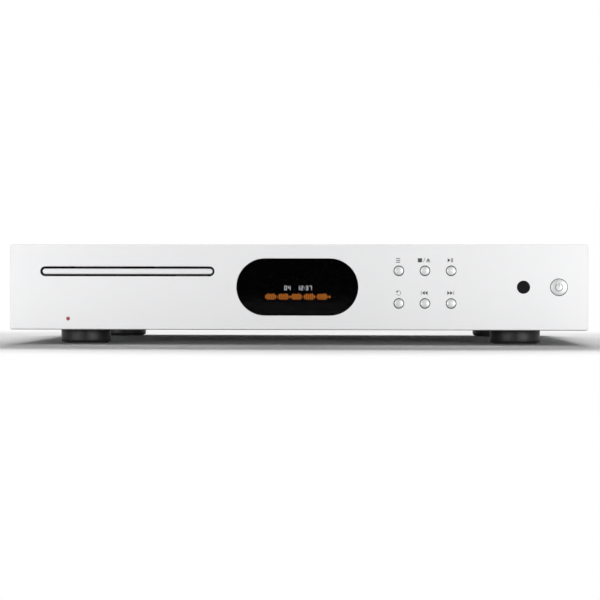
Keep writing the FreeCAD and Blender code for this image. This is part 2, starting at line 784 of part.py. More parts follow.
def make_fascia():
    """The machined aluminium front with its tray slot, window and control holes."""
    body = new_body("fascia")
    plate = Outline(body, "XZ_Plane", d.fascia_front)
    plate.rectangle(0, fascia_middle, d.fascia_width, d.fascia_height)
    pad(plate, d.fascia_thick, BACK)
    fillet(body, d.corner_round, lambda edge: runs_along(edge, "y"))
    chamfer(body, d.edge_bevel, lambda edge: lies_at(edge, "y", d.fascia_front))
    holes = Outline(body, "XZ_Plane", d.fascia_front)
    holes.stadium(d.slot_x, d.slot_z, d.slot_length, d.slot_height)
    holes.stadium(0, d.window_z, d.window_width, d.window_height)
    for x in button_columns:
        for z in button_rows:
            holes.circle(x, z, d.button_hole)
    holes.circle(d.power_x, d.power_z, d.power_hole)
    holes.circle(d.eye_x, d.eye_z, d.eye_diameter)
    holes.circle(d.lamp_x, d.lamp_z, d.lamp_diameter)
    pocket(holes, d.fascia_thick, BACK)
    rebate = Outline(body, "XZ_Plane", case_front)
    rebate.stadium(0, d.window_z, d.window_width + 2 * d.window_rebate,
                   d.window_height + 2 * d.window_rebate)
    rebate.circle(d.eye_x, d.eye_z, d.eye_flange)
    rebate.circle(d.lamp_x, d.lamp_z, d.lamp_flange)
    pocket(rebate, d.window_rebate, FRONT)
    seats = Outline(body, "XZ_Plane", case_front)
    for x in button_columns:
        for z in button_rows:
            seats.rectangle(x, z, d.button_pocket, d.button_pocket)
    seats.rectangle(d.power_x, d.power_z, d.power_pocket, d.power_pocket)
    pocket(seats, d.button_pocket_depth, FRONT)


# ---------------------------------------------------------------- front pieces

def make_window():
    """The smoked lens over the display, held by a wider flange behind the fascia's opening."""
    body = new_body("display_window")
    lens = Outline(body, "XZ_Plane", d.fascia_front + d.window_recess)
    lens.stadium(0, d.window_z, d.window_width - d.fit_gap, d.window_height - d.fit_gap)
    pad(lens, d.fascia_thick - d.window_recess, BACK)
    flange = Outline(body, "XZ_Plane", case_front)
    flange.stadium(0, d.window_z, d.window_width + 2 * d.window_rebate - d.fit_gap,
                   d.window_height + 2 * d.window_rebate - d.fit_gap)
    pad(flange, d.window_rebate - d.fit_gap, FRONT)


def make_display():
    body = new_body("display_panel")
    glass = Outline(body, "XZ_Plane", d.front_board_y)
    glass.rectangle(0, d.window_z, d.panel_width, d.panel_height)
    pad(glass, d.panel_thick, FRONT)


def make_front_board():
    body = new_body("front_board")
    board = Outline(body, "XZ_Plane", d.front_board_y)
    board.span(d.front_board_left, d.front_board_right, d.front_board_low, d.front_board_high)
    pad(board, d.board_thick, BACK)


def make_switches():
    """One tact switch behind each of the seven buttons."""
    body = new_body("button_switches")
    spots = [(x, z) for x in button_columns for z in button_rows] + [(d.power_x, d.power_z)]
    cases = Outline(body, "XZ_Plane", d.front_board_y)
    for x, z in spots:
        cases.rectangle(x, z, d.switch_size, d.switch_size)
    pad(cases, d.switch_height, FRONT)
    plungers = Outline(body, "XZ_Plane", d.front_board_y - d.switch_height)
    for x, z in spots:
        plungers.rectangle(x, z, d.switch_plunger, d.switch_plunger)
    pad(plungers, d.switch_reach, FRONT)


def make_button(name, x, z, cap, flange, proud):
    """A turned cap with a domed face, its square flange behind the fascia, and its stem."""
    body = new_body(name)
    face = d.fascia_front - proud
    seat = case_front - d.button_pocket_depth + d.fit_gap
    end = d.front_board_y - d.switch_height - d.switch_reach - d.button_travel - 2 * d.fit_gap
    rim = cap / 2
    crown = d.button_crown * cap / d.button_diameter
    revolve(Outline(body, "XY_Plane").polygon([
        (0, face), (rim / 2, face + crown / 4), (rim - d.button_edge, face + crown),
        (rim, face + crown + d.button_edge), (rim, seat), (0, seat)]))
    plate = Outline(body, "XZ_Plane", seat)
    plate.rectangle(0, 0, flange, flange)
    pad(plate, d.button_flange_thick, BACK)
    stem = Outline(body, "XZ_Plane", seat + d.button_flange_thick)
    stem.rectangle(0, 0, d.button_stem, d.button_stem)
    pad(stem, end - seat - d.button_flange_thick, BACK)
    place(body, x, 0, z)


def make_buttons():
    names = [["repeat_button", "menu_button"], ["previous_button", "stop_eject_button"],
             ["next_button", "play_pause_button"]]
    for x, column in zip(button_columns, names):
        for z, name in zip(button_rows, column):
            make_button(name, x, z, d.button_diameter, d.button_flange, d.button_proud)
    make_button("power_button", d.power_x, d.power_z, d.power_diameter, d.power_flange,
                d.power_proud)


def make_eye():
    """The dark infrared window, and the receiver behind it."""
    body = new_body("ir_window")
    flange = d.eye_flange / 2 - d.fit_gap
    lens = d.eye_diameter / 2 - d.fit_gap / 2
    step = case_front - d.window_rebate + d.fit_gap
    revolve(Outline(body, "XY_Plane").polygon([
        (0, d.fascia_front + d.fit_gap), (lens, d.fascia_front + d.fit_gap), (lens, step),
        (flange, step), (flange, case_front), (0, case_front)]))
    place(body, d.eye_x, 0, d.eye_z)
    body = new_body("ir_receiver")
    can = Outline(body, "XZ_Plane", d.front_board_y)
    can.rectangle(d.eye_x, d.eye_z, d.eye_body, d.eye_body)
    pad(can, d.switch_height, FRONT)
    dome = Outline(body, "XZ_Plane", d.front_board_y - d.switch_height)
    dome.circle(d.eye_x, d.eye_z, d.eye_body - 2 * d.board_thick)
    pad(dome, d.switch_reach, FRONT)


def make_lamp():
    """The standby lamp: a light pipe with a domed tip and a flange."""
    body = new_body("standby_led")
    radius = (d.lamp_diameter - d.fit_gap) / 2
    flange = d.lamp_flange / 2 - d.fit_gap
    tip = d.fascia_front - d.fit_gap
    step = case_front - d.window_rebate + d.fit_gap
    revolve(Outline(body, "XY_Plane").polygon([
        (0, tip), (radius - d.fit_gap * 4, tip), (radius, tip + d.fit_gap * 4), (radius, step),
        (flange, step), (flange, case_front), (radius, case_front),
        (radius, d.fascia_front + d.lamp_length), (0, d.fascia_front + d.lamp_length)]))
    place(body, d.lamp_x, 0, d.lamp_z)


# ---------------------------------------------------------------- feet and fasteners

def make_feet():
    """Four turned feet, the rubber rings under them and the screws that hold them."""
    names = ["foot_front_left", "foot_front_right", "foot_back_left", "foot_back_right"]
    for name, (x, y) in zip(names, foot_spots):
        body = new_body(name)
        outer = d.foot_diameter / 2
        waist = d.foot_waist / 2
        bore = d.foot_bore / 2
        head = d.foot_counterbore / 2
        low = d.pad_thick
        revolve(Outline(body, "XZ_Plane").polygon([
            (head, low), (waist, low), (outer, low + outer - waist), (outer, d.base_bottom),
            (bore, d.base_bottom), (bore, d.foot_counterbore_top), (head, d.foot_counterbore_top)]))
        place(body, x, y)
    body = new_body("foot_pads")
    rings = Outline(body, "XY_Plane")
    for x, y in foot_spots:
        rings.circle(x, y, d.pad_outer)
        rings.circle(x, y, d.pad_inner)
    pad(rings, d.pad_thick, UP)
    body = new_body("foot_screws")
    heads = Outline(body, "XY_Plane", d.foot_counterbore_top - d.screw_head_thick)
    shanks = Outline(body, "XY_Plane", d.foot_counterbore_top)
    for x, y in foot_spots:
        heads.circle(x, y, d.screw_head)
        shanks.circle(x, y, d.screw_shank)
    pad(heads, d.screw_head_thick, UP)
    pad(shanks, d.foot_screw_top - d.foot_counterbore_top, UP)


def make_case_screws():
    """Two screws through each side of the cover, and those of the mains inlet."""
    body = new_body("cover_screws")
    for side in (-1, 1):
        wall = side * d.cover_width / 2
        heads = Outline(body, "YZ_Plane", wall)
        for y in (-d.cover_screw_y, d.cover_screw_y):
            heads.circle(y, d.cover_screw_z, d.small_head)
        pad(heads, d.small_head_thick, side)
    body = new_body("rear_screws")
    spots = [(d.inlet_x + side * d.inlet_screw_pitch / 2, d.inlet_z) for side in (-1, 1)]
    heads = Outline(body, "XZ_Plane", d.back_plane + d.inlet_flange_thick)
    for x, z in spots:
        heads.circle(x, z, d.small_head)
    pad(heads, d.small_head_thick, BACK)


# ---------------------------------------------------------------- power supply

def make_transformer():
    """A ring-core transformer, clamped by a dished plate and one bolt."""
    body = new_body("toroidal_transformer")
    low = floor_top + d.coil_lift
    middle = (d.coil_outer + d.coil_inner) / 4
    ring = Outline(body, "XZ_Plane")
    ring.rectangle(middle, low + d.coil_height / 2, (d.coil_outer - d.coil_inner) / 2, d.coil_height)
    revolve(ring)
    chamfer(body, d.coil_bevel, lambda edge: True)
    place(body, d.coil_x, d.coil_y)
    body = new_body("transformer_clamp")
    top = low + d.coil_height
    seat = top - d.dish_depth
    rim = d.dish_diameter / 2
    hub = d.coil_inner / 2
    bolt = d.bolt_diameter / 2
    head = d.bolt_head / 2
    slant = d.dish_thick / 2
    revolve(Outline(body, "XZ_Plane").polygon([
        (0, floor_top), (bolt, floor_top), (bolt, seat), (hub - d.dish_depth, seat),
        (hub + d.dish_depth, top), (rim, top), (rim, top + d.dish_thick),
        (hub + d.dish_depth - slant, top + d.dish_thick),
        (hub - d.dish_depth - slant, seat + d.dish_thick), (head, seat + d.dish_thick),
        (head, seat + d.dish_thick + d.bolt_head_thick), (0, seat + d.dish_thick + d.bolt_head_thick)]))
    place(body, d.coil_x, d.coil_y)


def make_board(name, left, right, front, back):
    body = new_body(name)
    board = Outline(body, "XY_Plane", d.board_z)
    board.span(left, right, front, back)
    pad(board, d.board_thick, UP)


def make_boards():
    for name, sides in zip(("supply_board", "main_board"), board_spans()):
        make_board(name, *sides)
    body = new_body("supply_capacitors")
    cans = Outline(body, "XY_Plane", board_top)
    for column in range(2):
        for row in range(2):
            cans.circle(d.supply_left + d.can_inset + d.can_pitch * column,
                        d.supply_front + d.can_inset + d.can_pitch * row, d.can_diameter)
    pad(cans, d.can_height, UP)
    body = new_body("main_board_chips")
    chips = Outline(body, "XY_Plane", board_top)
    middle_x = (d.main_left + d.main_right) / 2
    middle_y = (d.main_front + d.main_back) / 2
    chips.rectangle(middle_x, middle_y, d.chip_large, d.chip_large)
    for steps_aside in (-2, 2, 3):
        chips.rectangle(middle_x + d.chip_large * steps_aside, middle_y, d.chip_small, d.chip_small)
    pad(chips, d.chip_thick, UP)


# ---------------------------------------------------------------- sockets

def chamfered_bay(outline, x, z, width, height, corner):
    half, rise = width / 2, height / 2
    outline.polygon([(x - half, z - rise), (x + half, z - rise), (x + half, z + rise - corner),
                     (x + half - corner, z + rise), (x - half + corner, z + rise),
                     (x - half, z + rise - corner)])


def make_inlet():
    """The three-pin mains inlet, an open bay with its blades."""
    body = new_body("mains_inlet")
    shell = Outline(body, "XZ_Plane", d.back_plane)
    shell.rectangle(d.inlet_x, d.inlet_z, d.inlet_width, d.inlet_height)
    pad(shell, d.inlet_depth, FRONT)
    flange = Outline(body, "XZ_Plane", d.back_plane)
    half, rise = d.inlet_flange / 2, d.inlet_flange_height / 2
    cut = rise / 2
    flange.polygon([(d.inlet_x - half + cut, d.inlet_z - rise), (d.inlet_x + half - cut, d.inlet_z - rise),
                    (d.inlet_x + half, d.inlet_z - cut), (d.inlet_x + half, d.inlet_z + cut),
                    (d.inlet_x + half - cut, d.inlet_z + rise), (d.inlet_x - half + cut, d.inlet_z + rise),
                    (d.inlet_x - half, d.inlet_z + cut), (d.inlet_x - half, d.inlet_z - cut)])
    pad(flange, d.inlet_flange_thick, BACK)
    bay = Outline(body, "XZ_Plane", d.back_plane + d.inlet_flange_thick)
    chamfered_bay(bay, d.inlet_x, d.inlet_z, d.inlet_bay_width, d.inlet_bay_height, d.inlet_corner)
    pocket(bay, d.inlet_bay_depth, FRONT)
    bay_end = d.back_plane + d.inlet_flange_thick - d.inlet_bay_depth
    spots = [(-d.pin_pitch, -d.pin_offset), (d.pin_pitch, -d.pin_offset), (as_size(0), d.pin_offset)]
    seats = Outline(body, "XZ_Plane", bay_end)
    blades = new_body("inlet_pins")
    pins = Outline(blades, "XZ_Plane", bay_end + d.pin_reach)
    for x, z in spots:
        for outline in (seats, pins):
            outline.rectangle(d.inlet_x + x, d.inlet_z + z, d.pin_width, d.pin_height)
    pocket(seats, d.inlet_depth + d.inlet_flange_thick - d.inlet_bay_depth, FRONT)
    pad(pins, d.pin_length, FRONT)


def make_rocker():
    """The mains switch: a housing with a deep well, and the rocker that tips in it."""
    body = new_body("switch_housing")
    outer = (d.rocker_width + 2 * d.rocker_wall, d.rocker_height + 2 * d.rocker_wall)
    case = Outline(body, "XZ_Plane", d.back_plane)
    case.rectangle(d.rocker_x, d.rocker_z, *outer)
    pad(case, d.rocker_depth, FRONT)
    bezel = Outline(body, "XZ_Plane", d.back_plane)
    bezel.rectangle(d.rocker_x, d.rocker_z, outer[0] + d.rocker_wall, outer[1] + d.rocker_wall)
    pad(bezel, d.rocker_bezel, BACK)
    well = Outline(body, "XZ_Plane", d.back_plane + d.rocker_bezel)
    well.rectangle(d.rocker_x, d.rocker_z, d.rocker_width, d.rocker_height)
    pocket(well, d.rocker_well, FRONT)
    bearing = Outline(body, "YZ_Plane", d.rocker_x - d.rocker_width / 2 - d.rocker_wall / 2)
    bearing.circle(d.back_plane, d.rocker_z, d.rocker_pin + 2 * d.bore_play)
    pocket(bearing, d.rocker_width + d.rocker_wall, RIGHT)
    body = new_body("mains_rocker")
    half = d.rocker_height / 2 - d.rocker_gap - d.rocker_crown / 4
    crown = d.rocker_crown
    skirt = d.rocker_well - d.rocker_bezel - d.rocker_crown
    side = Outline(body, "YZ_Plane", -d.rocker_width / 2 + d.rocker_gap)
    side.polygon([(-skirt, -crown), (-skirt / 2, -half), (crown, -half),
                  (d.rocker_slope, -half / 2), (d.rocker_saddle, 0), (d.rocker_slope, half / 2),
                  (crown, half), (-skirt / 2, half), (-skirt, crown)])
    pad(side, d.rocker_width - 2 * d.rocker_gap, RIGHT)
    pins = Outline(body, "YZ_Plane", -d.rocker_width / 2 - d.rocker_wall / 2 + d.rocker_gap / 2)
    pins.circle(0, 0, d.rocker_pin)
    pad(pins, d.rocker_width + d.rocker_wall - d.rocker_gap, RIGHT)
    place(body, d.rocker_x, d.back_plane, d.rocker_z)
    body.Placement.Rotation = FreeCAD.Rotation(FreeCAD.Vector(1, 0, 0), 0)
    bind(body, "Placement.Rotation.Axis.x", 1)
    bind(body, "Placement.Rotation.Axis.z", 0)
    bind(body, "Placement.Rotation.Angle", d.rocker_angle)


def make_coax():
    """The coaxial output: plated barrel and collar outside, moulded block inside."""
    body = new_body("coax_jack")
    barrel = Outline(body, "XZ_Plane", d.back_plane + d.coax_reach)
    barrel.circle(d.coax_x, d.jack_z, d.coax_diameter)
    pad(barrel, d.coax_reach + d.sheet_thick, FRONT)
    collar = Outline(body, "XZ_Plane", d.back_plane)
    collar.circle(d.coax_x, d.jack_z, d.coax_collar)
    pad(collar, d.coax_collar_thick, BACK)
    block = Outline(body, "XZ_Plane", inner_back)
    block.rectangle(d.coax_x, d.jack_z, d.coax_collar, d.coax_collar)
    pad(block, d.coax_body, FRONT)
    bore = Outline(body, "XZ_Plane", d.back_plane + d.coax_reach)
    bore.circle(d.coax_x, d.jack_z, d.coax_bore)
    pocket(bore, d.coax_reach, FRONT)


def make_optical():
    """The optical output, whose port is closed by a sprung shutter hinged at its top."""
    body = new_body("optical_jack")
    front = d.back_plane + d.optical_proud
    shell = Outline(body, "XZ_Plane", front)
    shell.rectangle(d.optical_x, d.jack_z, d.optical_width, d.optical_height)
    pad(shell, d.optical_depth, FRONT)
    bay = Outline(body, "XZ_Plane", front)
    bay.rectangle(d.optical_x, d.jack_z, d.optical_bay, d.optical_bay)
    pocket(bay, d.optical_bay_depth, FRONT)
    hinge_y = front - d.shutter_thick - d.shutter_gap
    hinge_z = d.jack_z + d.optical_bay / 2 - d.shutter_thick
    reach = d.optical_bay / 2 + d.shutter_thick
    bearing = Outline(body, "YZ_Plane", d.optical_x - reach)
    bearing.circle(hinge_y, hinge_z, d.shutter_pin + 2 * d.bore_play)
    pocket(bearing, 2 * reach, RIGHT)
    body = new_body("optical_shutter")
    flap = Outline(body, "XY_Plane", d.jack_z - d.optical_bay / 2 + d.shutter_gap)
    flap.rectangle(d.optical_x, hinge_y, d.optical_bay - 2 * d.shutter_gap, d.shutter_thick)
    pad(flap, d.optical_bay - d.shutter_gap - d.shutter_thick, UP)
    pins = Outline(body, "YZ_Plane", d.optical_x - reach + d.shutter_gap)
    pins.circle(hinge_y, hinge_z, d.shutter_pin)
    pad(pins, 2 * (reach - d.shutter_gap), RIGHT)


def make_usb():
    """The service socket: a pressed shell around a moulded tongue."""
    body = new_body("usb_socket")
    front = d.back_plane + d.usb_proud
    shell = Outline(body, "XZ_Plane", front)
    shell.rectangle(d.usb_x, d.jack_z, d.usb_width, d.usb_height)
    pad(shell, d.usb_depth, FRONT)
    bay = Outline(body, "XZ_Plane", front)
    bay.rectangle(d.usb_x, d.jack_z, d.usb_width - 2 * d.usb_wall, d.usb_height - 2 * d.usb_wall)
    pocket(bay, d.usb_depth - d.usb_wall, FRONT)
    tongue = Outline(body, "XZ_Plane", front - d.usb_depth + d.usb_wall)
    tongue.rectangle(d.usb_x, d.jack_z + d.usb_height / 2 - d.usb_wall - d.usb_tongue_thick,
                     d.usb_tongue_width, d.usb_tongue_thick)
    pad(tongue, d.usb_depth - 4 * d.usb_wall, BACK)


def make_triggers():
    """Two 3.5 mm trigger jacks."""
    body = new_body("trigger_jacks")
    blocks = Outline(body, "XZ_Plane", inner_back)
    noses = Outline(body, "XZ_Plane", inner_back)
    bores = Outline(body, "XZ_Plane", d.back_plane + d.trigger_proud)
    for x in trigger_places():
        blocks.rectangle(x, d.jack_z, d.trigger_body, d.trigger_body)
        noses.circle(x, d.jack_z, d.trigger_nose)
        bores.circle(x, d.jack_z, d.trigger_bore)
    pad(blocks, d.trigger_depth, FRONT)
    pad(noses, d.sheet_thick + d.trigger_proud, BACK)
    pocket(bores, d.trigger_depth, FRONT)


# ---------------------------------------------------------------- loader

def make_loader_frame():
    """The moulded loader tub with tray rails, guide tabs, gear deck and bearing ears."""
    body = new_body("loader_frame")
    middle_y = (d.loader_front + d.loader_back) / 2
    length = d.loader_back - d.loader_front
    tub = Outline(body, "XY_Plane", d.loader_bottom)
    tub.rectangle(d.slot_x, middle_y, d.loader_width, length)
    pad(tub, d.loader_top - d.loader_bottom, UP)
    inside = Outline(body, "XY_Plane", d.loader_top)
    inside.rectangle(d.slot_x, middle_y, d.loader_width - 2 * d.loader_wall,
                     length - 2 * d.loader_wall)
    pocket(inside, d.loader_top - d.loader_bottom - d.loader_floor, DOWN)
    inner_half = d.loader_width / 2 - d.loader_wall
    mouth = Outline(body, "XZ_Plane", d.loader_front)
    mouth.span(d.slot_x - inner_half, d.slot_x + inner_half, d.passage_bottom, d.loader_top)
    pocket(mouth, d.loader_wall, BACK)
    ledges = Outline(body, "XZ_Plane", d.loader_front)
    for side in (-1, 1):
        ledges.rectangle(d.slot_x + side * (inner_half - d.ledge_reach / 2),
                         d.ledge_top - d.ledge_thick / 2, d.ledge_reach, d.ledge_thick)
    pad(ledges, length, BACK)
    tabs = Outline(body, "XY_Plane", d.guide_bottom)
    for side in (-1, 1):
        for y in (d.loader_front + d.guide_length, middle_y, d.loader_back - d.guide_length):
            tabs.rectangle(d.slot_x + side * (inner_half - d.guide_reach / 2), y,
                           d.guide_reach, d.guide_length)
    pad(tabs, d.guide_thick, UP)
    deck = Outline(body, "XY_Plane", d.deck_bottom)
    deck.span(d.slot_x + inner_half - d.deck_width, d.slot_x + inner_half,
              d.loader_front + d.loader_wall, d.deck_back)
    pad(deck, d.deck_thick, UP)
    shaft = Outline(body, "XY_Plane", deck_top)
    shaft.circle(gear_x, d.motor_y, d.shaft_hole)
    pocket(shaft, d.deck_thick, DOWN)
    axles = Outline(body, "XY_Plane", deck_top)
    axles.circle(gear_x, d.gear_y, d.axle_diameter)
    axles.circle(gear_x, wheel_y, d.axle_diameter)
    pad(axles, d.pinion_top - deck_top - d.fit_gap, UP)
    for left in (d.slot_x - d.ear_offset - d.ear_thick, d.slot_x + d.ear_offset):
        ears = Outline(body, "YZ_Plane", left)
        ears.span(d.pivot_y - d.ear_length / 2, d.pivot_y + d.ear_length / 2,
                  d.loader_bottom + d.loader_floor, d.ear_top)
        pad(ears, d.ear_thick, RIGHT)
    bearing = Outline(body, "YZ_Plane", d.slot_x - d.ear_offset - d.ear_thick)
    bearing.circle(d.pivot_y, d.pivot_z, d.pivot_pin + 2 * d.bore_play)
    pocket(bearing, 2 * (d.ear_offset + d.ear_thick), RIGHT)
    bosses = Outline(body, "XY_Plane", floor_top)
    for x in (loader_left + d.boss_inset, loader_right - d.boss_inset):
        for y in (d.loader_front + 2 * d.boss_inset, d.loader_back - d.boss_inset):
            bosses.hexagon(x, y, d.boss_corners)
    pad(bosses, d.loader_bottom - floor_top, UP)


def make_tray():
    """The disc tray: two stepped recesses, lens window, side rails, and the rack below."""
    body = new_body("tray_plate")
    half = d.tray_width / 2
    plate = Outline(body, "XY_Plane", d.tray_bottom)
    plate.span(d.slot_x - half, d.slot_x + half, tray_front, d.tray_back)
    pad(plate, d.tray_top - d.tray_bottom, UP)
    fillet(body, d.tray_round, lambda edge: runs_along(edge, "z") and lies_at(edge, "y", d.tray_back))
    rails = Outline(body, "XY_Plane", d.tray_bottom)
    for side in (-1, 1):
        rails.rectangle(d.slot_x + side * (half - d.tray_rail_width / 2),
                        (tray_front + d.tray_back - d.tray_round) / 2, d.tray_rail_width,
                        d.tray_back - d.tray_round - tray_front)
    pad(rails, d.tray_bottom - d.tray_rail_bottom, DOWN)
    rib = Outline(body, "XY_Plane", d.tray_bottom)
    rib.span(d.slot_x - half, d.slot_x + half, tray_front, tray_front + d.tray_front_rib)
    pad(rib, d.tray_bottom - d.tray_rail_bottom, DOWN)
    recess = Outline(body, "XY_Plane", d.tray_top)
    recess.circle(d.slot_x, d.spindle_y, d.recess_diameter)
    pocket(recess, d.tray_top - d.recess_floor, DOWN)
    recess = Outline(body, "XY_Plane", d.recess_floor)
    recess.circle(d.slot_x, d.spindle_y, d.small_recess)
    pocket(recess, d.small_recess_drop, DOWN)
    fingers = Outline(body, "XY_Plane", d.tray_top)
    fingers.rectangle(d.slot_x, d.spindle_y + d.recess_diameter / 2, d.finger_width,
                      d.finger_width / 2)
    pocket(fingers, d.tray_top - d.recess_floor, DOWN)
    window = Outline(body, "XY_Plane", d.tray_top)
    window.circle(d.slot_x, d.spindle_y, d.tray_window)
    pocket(window, d.tray_top - d.tray_bottom, DOWN)
    window = Outline(body, "XY_Plane", d.tray_top)
    window.slot((d.slot_x, d.spindle_y),
                (d.slot_x, d.spindle_y + d.tray_window_back - d.tray_window_width / 2),
                d.tray_window_width)
    pocket(window, d.tray_top - d.tray_bottom, DOWN)
    teeth = doc.addObject("Part::Feature", "tray_rack")
    teeth.Shape = rack_solid()
    joined = doc.addObject("Part::Fuse", "disc_tray")
    joined.Base = body
    joined.Tool = teeth
    joined.Refine = True
    joined.Label = "disc_tray"


def make_lip():
    """The bright lip on the tray's front, which fills the fascia's slot."""
    body = new_body("tray_lip")
    lip = Outline(body, "XZ_Plane", lip_front)
    lip.stadium(d.slot_x, d.slot_z, d.lip_length, d.lip_height)
    pad(lip, d.lip_thick, BACK)


# ---------------------------------------------------------------- gear teeth

PRESSURE_ANGLE = math.radians(20)


def involute(angle):
    return math.tan(angle) - angle


def gear_outline(teeth, turn):
    """The outline of an involute gear whose first tooth points along X, turned by an angle."""
    module = d.gear_module.value
    pitch_radius = module * teeth / 2
    base_radius = pitch_radius * math.cos(PRESSURE_ANGLE)
    tip_radius = pitch_radius + d.tooth_addendum.value * module
    root_radius = pitch_radius - d.tooth_dedendum.value * module
    half_tooth = math.pi / (2 * teeth) - d.tooth_play.value / (2 * pitch_radius)
    start = max(base_radius, root_radius)
    radii = [start, (start + tip_radius) / 2, tip_radius]
    flank = []
    for radius in radii:
        swing = half_tooth + involute(PRESSURE_ANGLE) - involute(math.acos(base_radius / radius))
        flank.append((radius, swing))
    if root_radius < base_radius:
        flank.insert(0, (root_radius, flank[0][1]))
    points = []
    for tooth in range(int(teeth)):
        centre = turn + 2 * math.pi * tooth / teeth
        sides = [(radius, centre - swing) for radius, swing in flank]
        sides += [(radius, centre + swing) for radius, swing in reversed(flank)]
        points += [(radius * math.cos(angle), radius * math.sin(angle)) for radius, angle in sides]
    return points


def toothed_prism(points, low, high):
    corners = [FreeCAD.Vector(x, y, low) for x, y in points]
    face = Part.Face(Part.makePolygon(corners + corners[:1]))
    return face.extrude(FreeCAD.Vector(0, 0, high - low))


def gear_solid(teeth, turn, low, high):
    return toothed_prism(gear_outline(teeth, turn), low.value, high.value)


def rack_solid():
    """The straight rack under the tray, with a gap opposite the drive gear's first tooth."""
    module = d.gear_module.value
    pitch = math.pi * module
    slope = math.tan(PRESSURE_ANGLE)
    line = d.slot_x.value + d.rack_pitch_x.value
    tip = line - d.tooth_addendum.value * module
    root = line + d.tooth_dedendum.value * module
    back = root + d.rack_body.value
    half = pitch / 4 - d.tooth_play.value / 2
    at_tip = half - d.tooth_addendum.value * module * slope
    at_root = half + d.tooth_dedendum.value * module * slope
    first = int((d.rack_front.value - d.gear_y.value) / pitch) - 0.5
    count = int((d.tray_back.value - d.rack_front.value) / pitch) - 1
    centres = [d.gear_y.value + pitch * (first + 1 + k) for k in range(count)]
    points = [(back, centres[0] - pitch), (root, centres[0] - pitch)]
    for y in centres:
        points += [(root, y - at_root), (tip, y - at_tip), (tip, y + at_tip), (root, y + at_root)]
    points += [(root, centres[-1] + pitch), (back, centres[-1] + pitch)]
    return toothed_prism(points, d.rack_bottom.value, d.tray_bottom.value)


def make_gear(name, teeth, turn, low, high, body, y):
    """Fuses a toothed rim onto a turned hub and puts the gear on its axle."""
    rim = doc.addObject("Part::Feature", f"{name}_teeth")
    rim.Shape = gear_solid(teeth.value, turn, low, high)
    joined = doc.addObject("Part::Fuse", f"{name}_blank")
    joined.Base = body
    joined.Tool = rim
    bore = doc.addObject("Part::Cylinder", f"{name}_bore")
    bind(bore, "Radius", d.axle_diameter / 2 + d.bore_play)
    bind(bore, "Height", high - d.hub_bottom + 2 * d.overrun)
    bind(bore, "Placement.Base.z", d.hub_bottom - d.overrun)
    gear = doc.addObject("Part::Cut", name)
    gear.Base = joined
    gear.Tool = bore
    gear.Label = name
    bind(gear, "Placement.Base.x", gear_x)
    bind(gear, "Placement.Base.y", y)


def make_drive():
    """Motor, belt, belt wheel with its pinion, and the gear that moves the tray."""
    hub = new_body("drive_gear_hub")
    revolve(Outline(hub, "XZ_Plane").span(0, d.gear_hub / 2, d.hub_bottom, d.gear_top))
    make_gear("drive_gear", d.gear_teeth, 0, d.gear_bottom, d.gear_top, hub, d.gear_y)
    wheel = new_body("belt_wheel_hub")
    top = d.wheel_bottom + d.wheel_thick
    middle = d.wheel_bottom + d.wheel_thick / 2
    revolve(Outline(wheel, "XZ_Plane").polygon([
        (0, d.hub_bottom), (d.gear_hub / 2, d.hub_bottom), (d.gear_hub / 2, d.wheel_bottom),
        (d.wheel_radius, d.wheel_bottom), (d.wheel_groove, middle - d.belt_section / 2),
        (d.wheel_groove, middle + d.belt_section / 2), (d.wheel_radius, top),
        (d.gear_hub / 2, top), (d.gear_hub / 2, d.gear_bottom), (0, d.gear_bottom)]))
    half_pitch = math.pi / d.pinion_teeth.value
    make_gear("pulley_gear", d.pinion_teeth, half_pitch, d.gear_bottom, d.pinion_top, wheel, wheel_y)

    motor = new_body("loading_motor")
    case = Outline(motor, "XY_Plane", d.deck_bottom)
    case.circle(0, 0, d.motor_diameter)
    pad(case, d.motor_height, DOWN)
    bore = Outline(motor, "XY_Plane", d.deck_bottom)
    bore.circle(0, 0, d.motor_shaft + 2 * d.bore_play)
    pocket(bore, d.motor_height - d.deck_thick, DOWN)
    chamfer(motor, d.edge_bevel, lambda edge: lies_at(edge, "z", d.deck_bottom - d.motor_height))
    place(motor, gear_x, d.motor_y)

    pulley = new_body("motor_pulley")
    shaft = d.motor_shaft / 2
    foot = d.deck_bottom - d.motor_height + 2 * d.deck_thick
    revolve(Outline(pulley, "XZ_Plane").polygon([
        (0, foot), (shaft, foot), (shaft, d.wheel_bottom), (d.pulley_radius, d.wheel_bottom),
        (d.pulley_groove, middle - d.belt_section / 2), (d.pulley_groove, middle + d.belt_section / 2),
        (d.pulley_radius, top), (0, top)]))
    place(pulley, gear_x, d.motor_y)
    make_belt(middle)


def belt_face(wheel_radius, pulley_radius, distance):
    """The flat area inside a belt line round the wheel and, at the distance, the pulley."""
    lean = math.asin((wheel_radius - pulley_radius) / distance)
    cos, sin = math.cos(lean), math.sin(lean)
    on_wheel = [FreeCAD.Vector(side * wheel_radius * cos, wheel_radius * sin, 0) for side in (-1, 1)]
    on_pulley = [FreeCAD.Vector(side * pulley_radius * cos, distance + pulley_radius * sin, 0)
                 for side in (-1, 1)]
    below = FreeCAD.Vector(0, -wheel_radius, 0)
    above = FreeCAD.Vector(0, distance + pulley_radius, 0)
    edges = [Part.Arc(on_wheel[0], below, on_wheel[1]).toShape(),
             Part.LineSegment(on_wheel[1], on_pulley[1]).toShape(),
             Part.Arc(on_pulley[1], above, on_pulley[0]).toShape(),
             Part.LineSegment(on_pulley[0], on_wheel[0]).toShape()]
    return Part.Face(Part.Wire(edges))


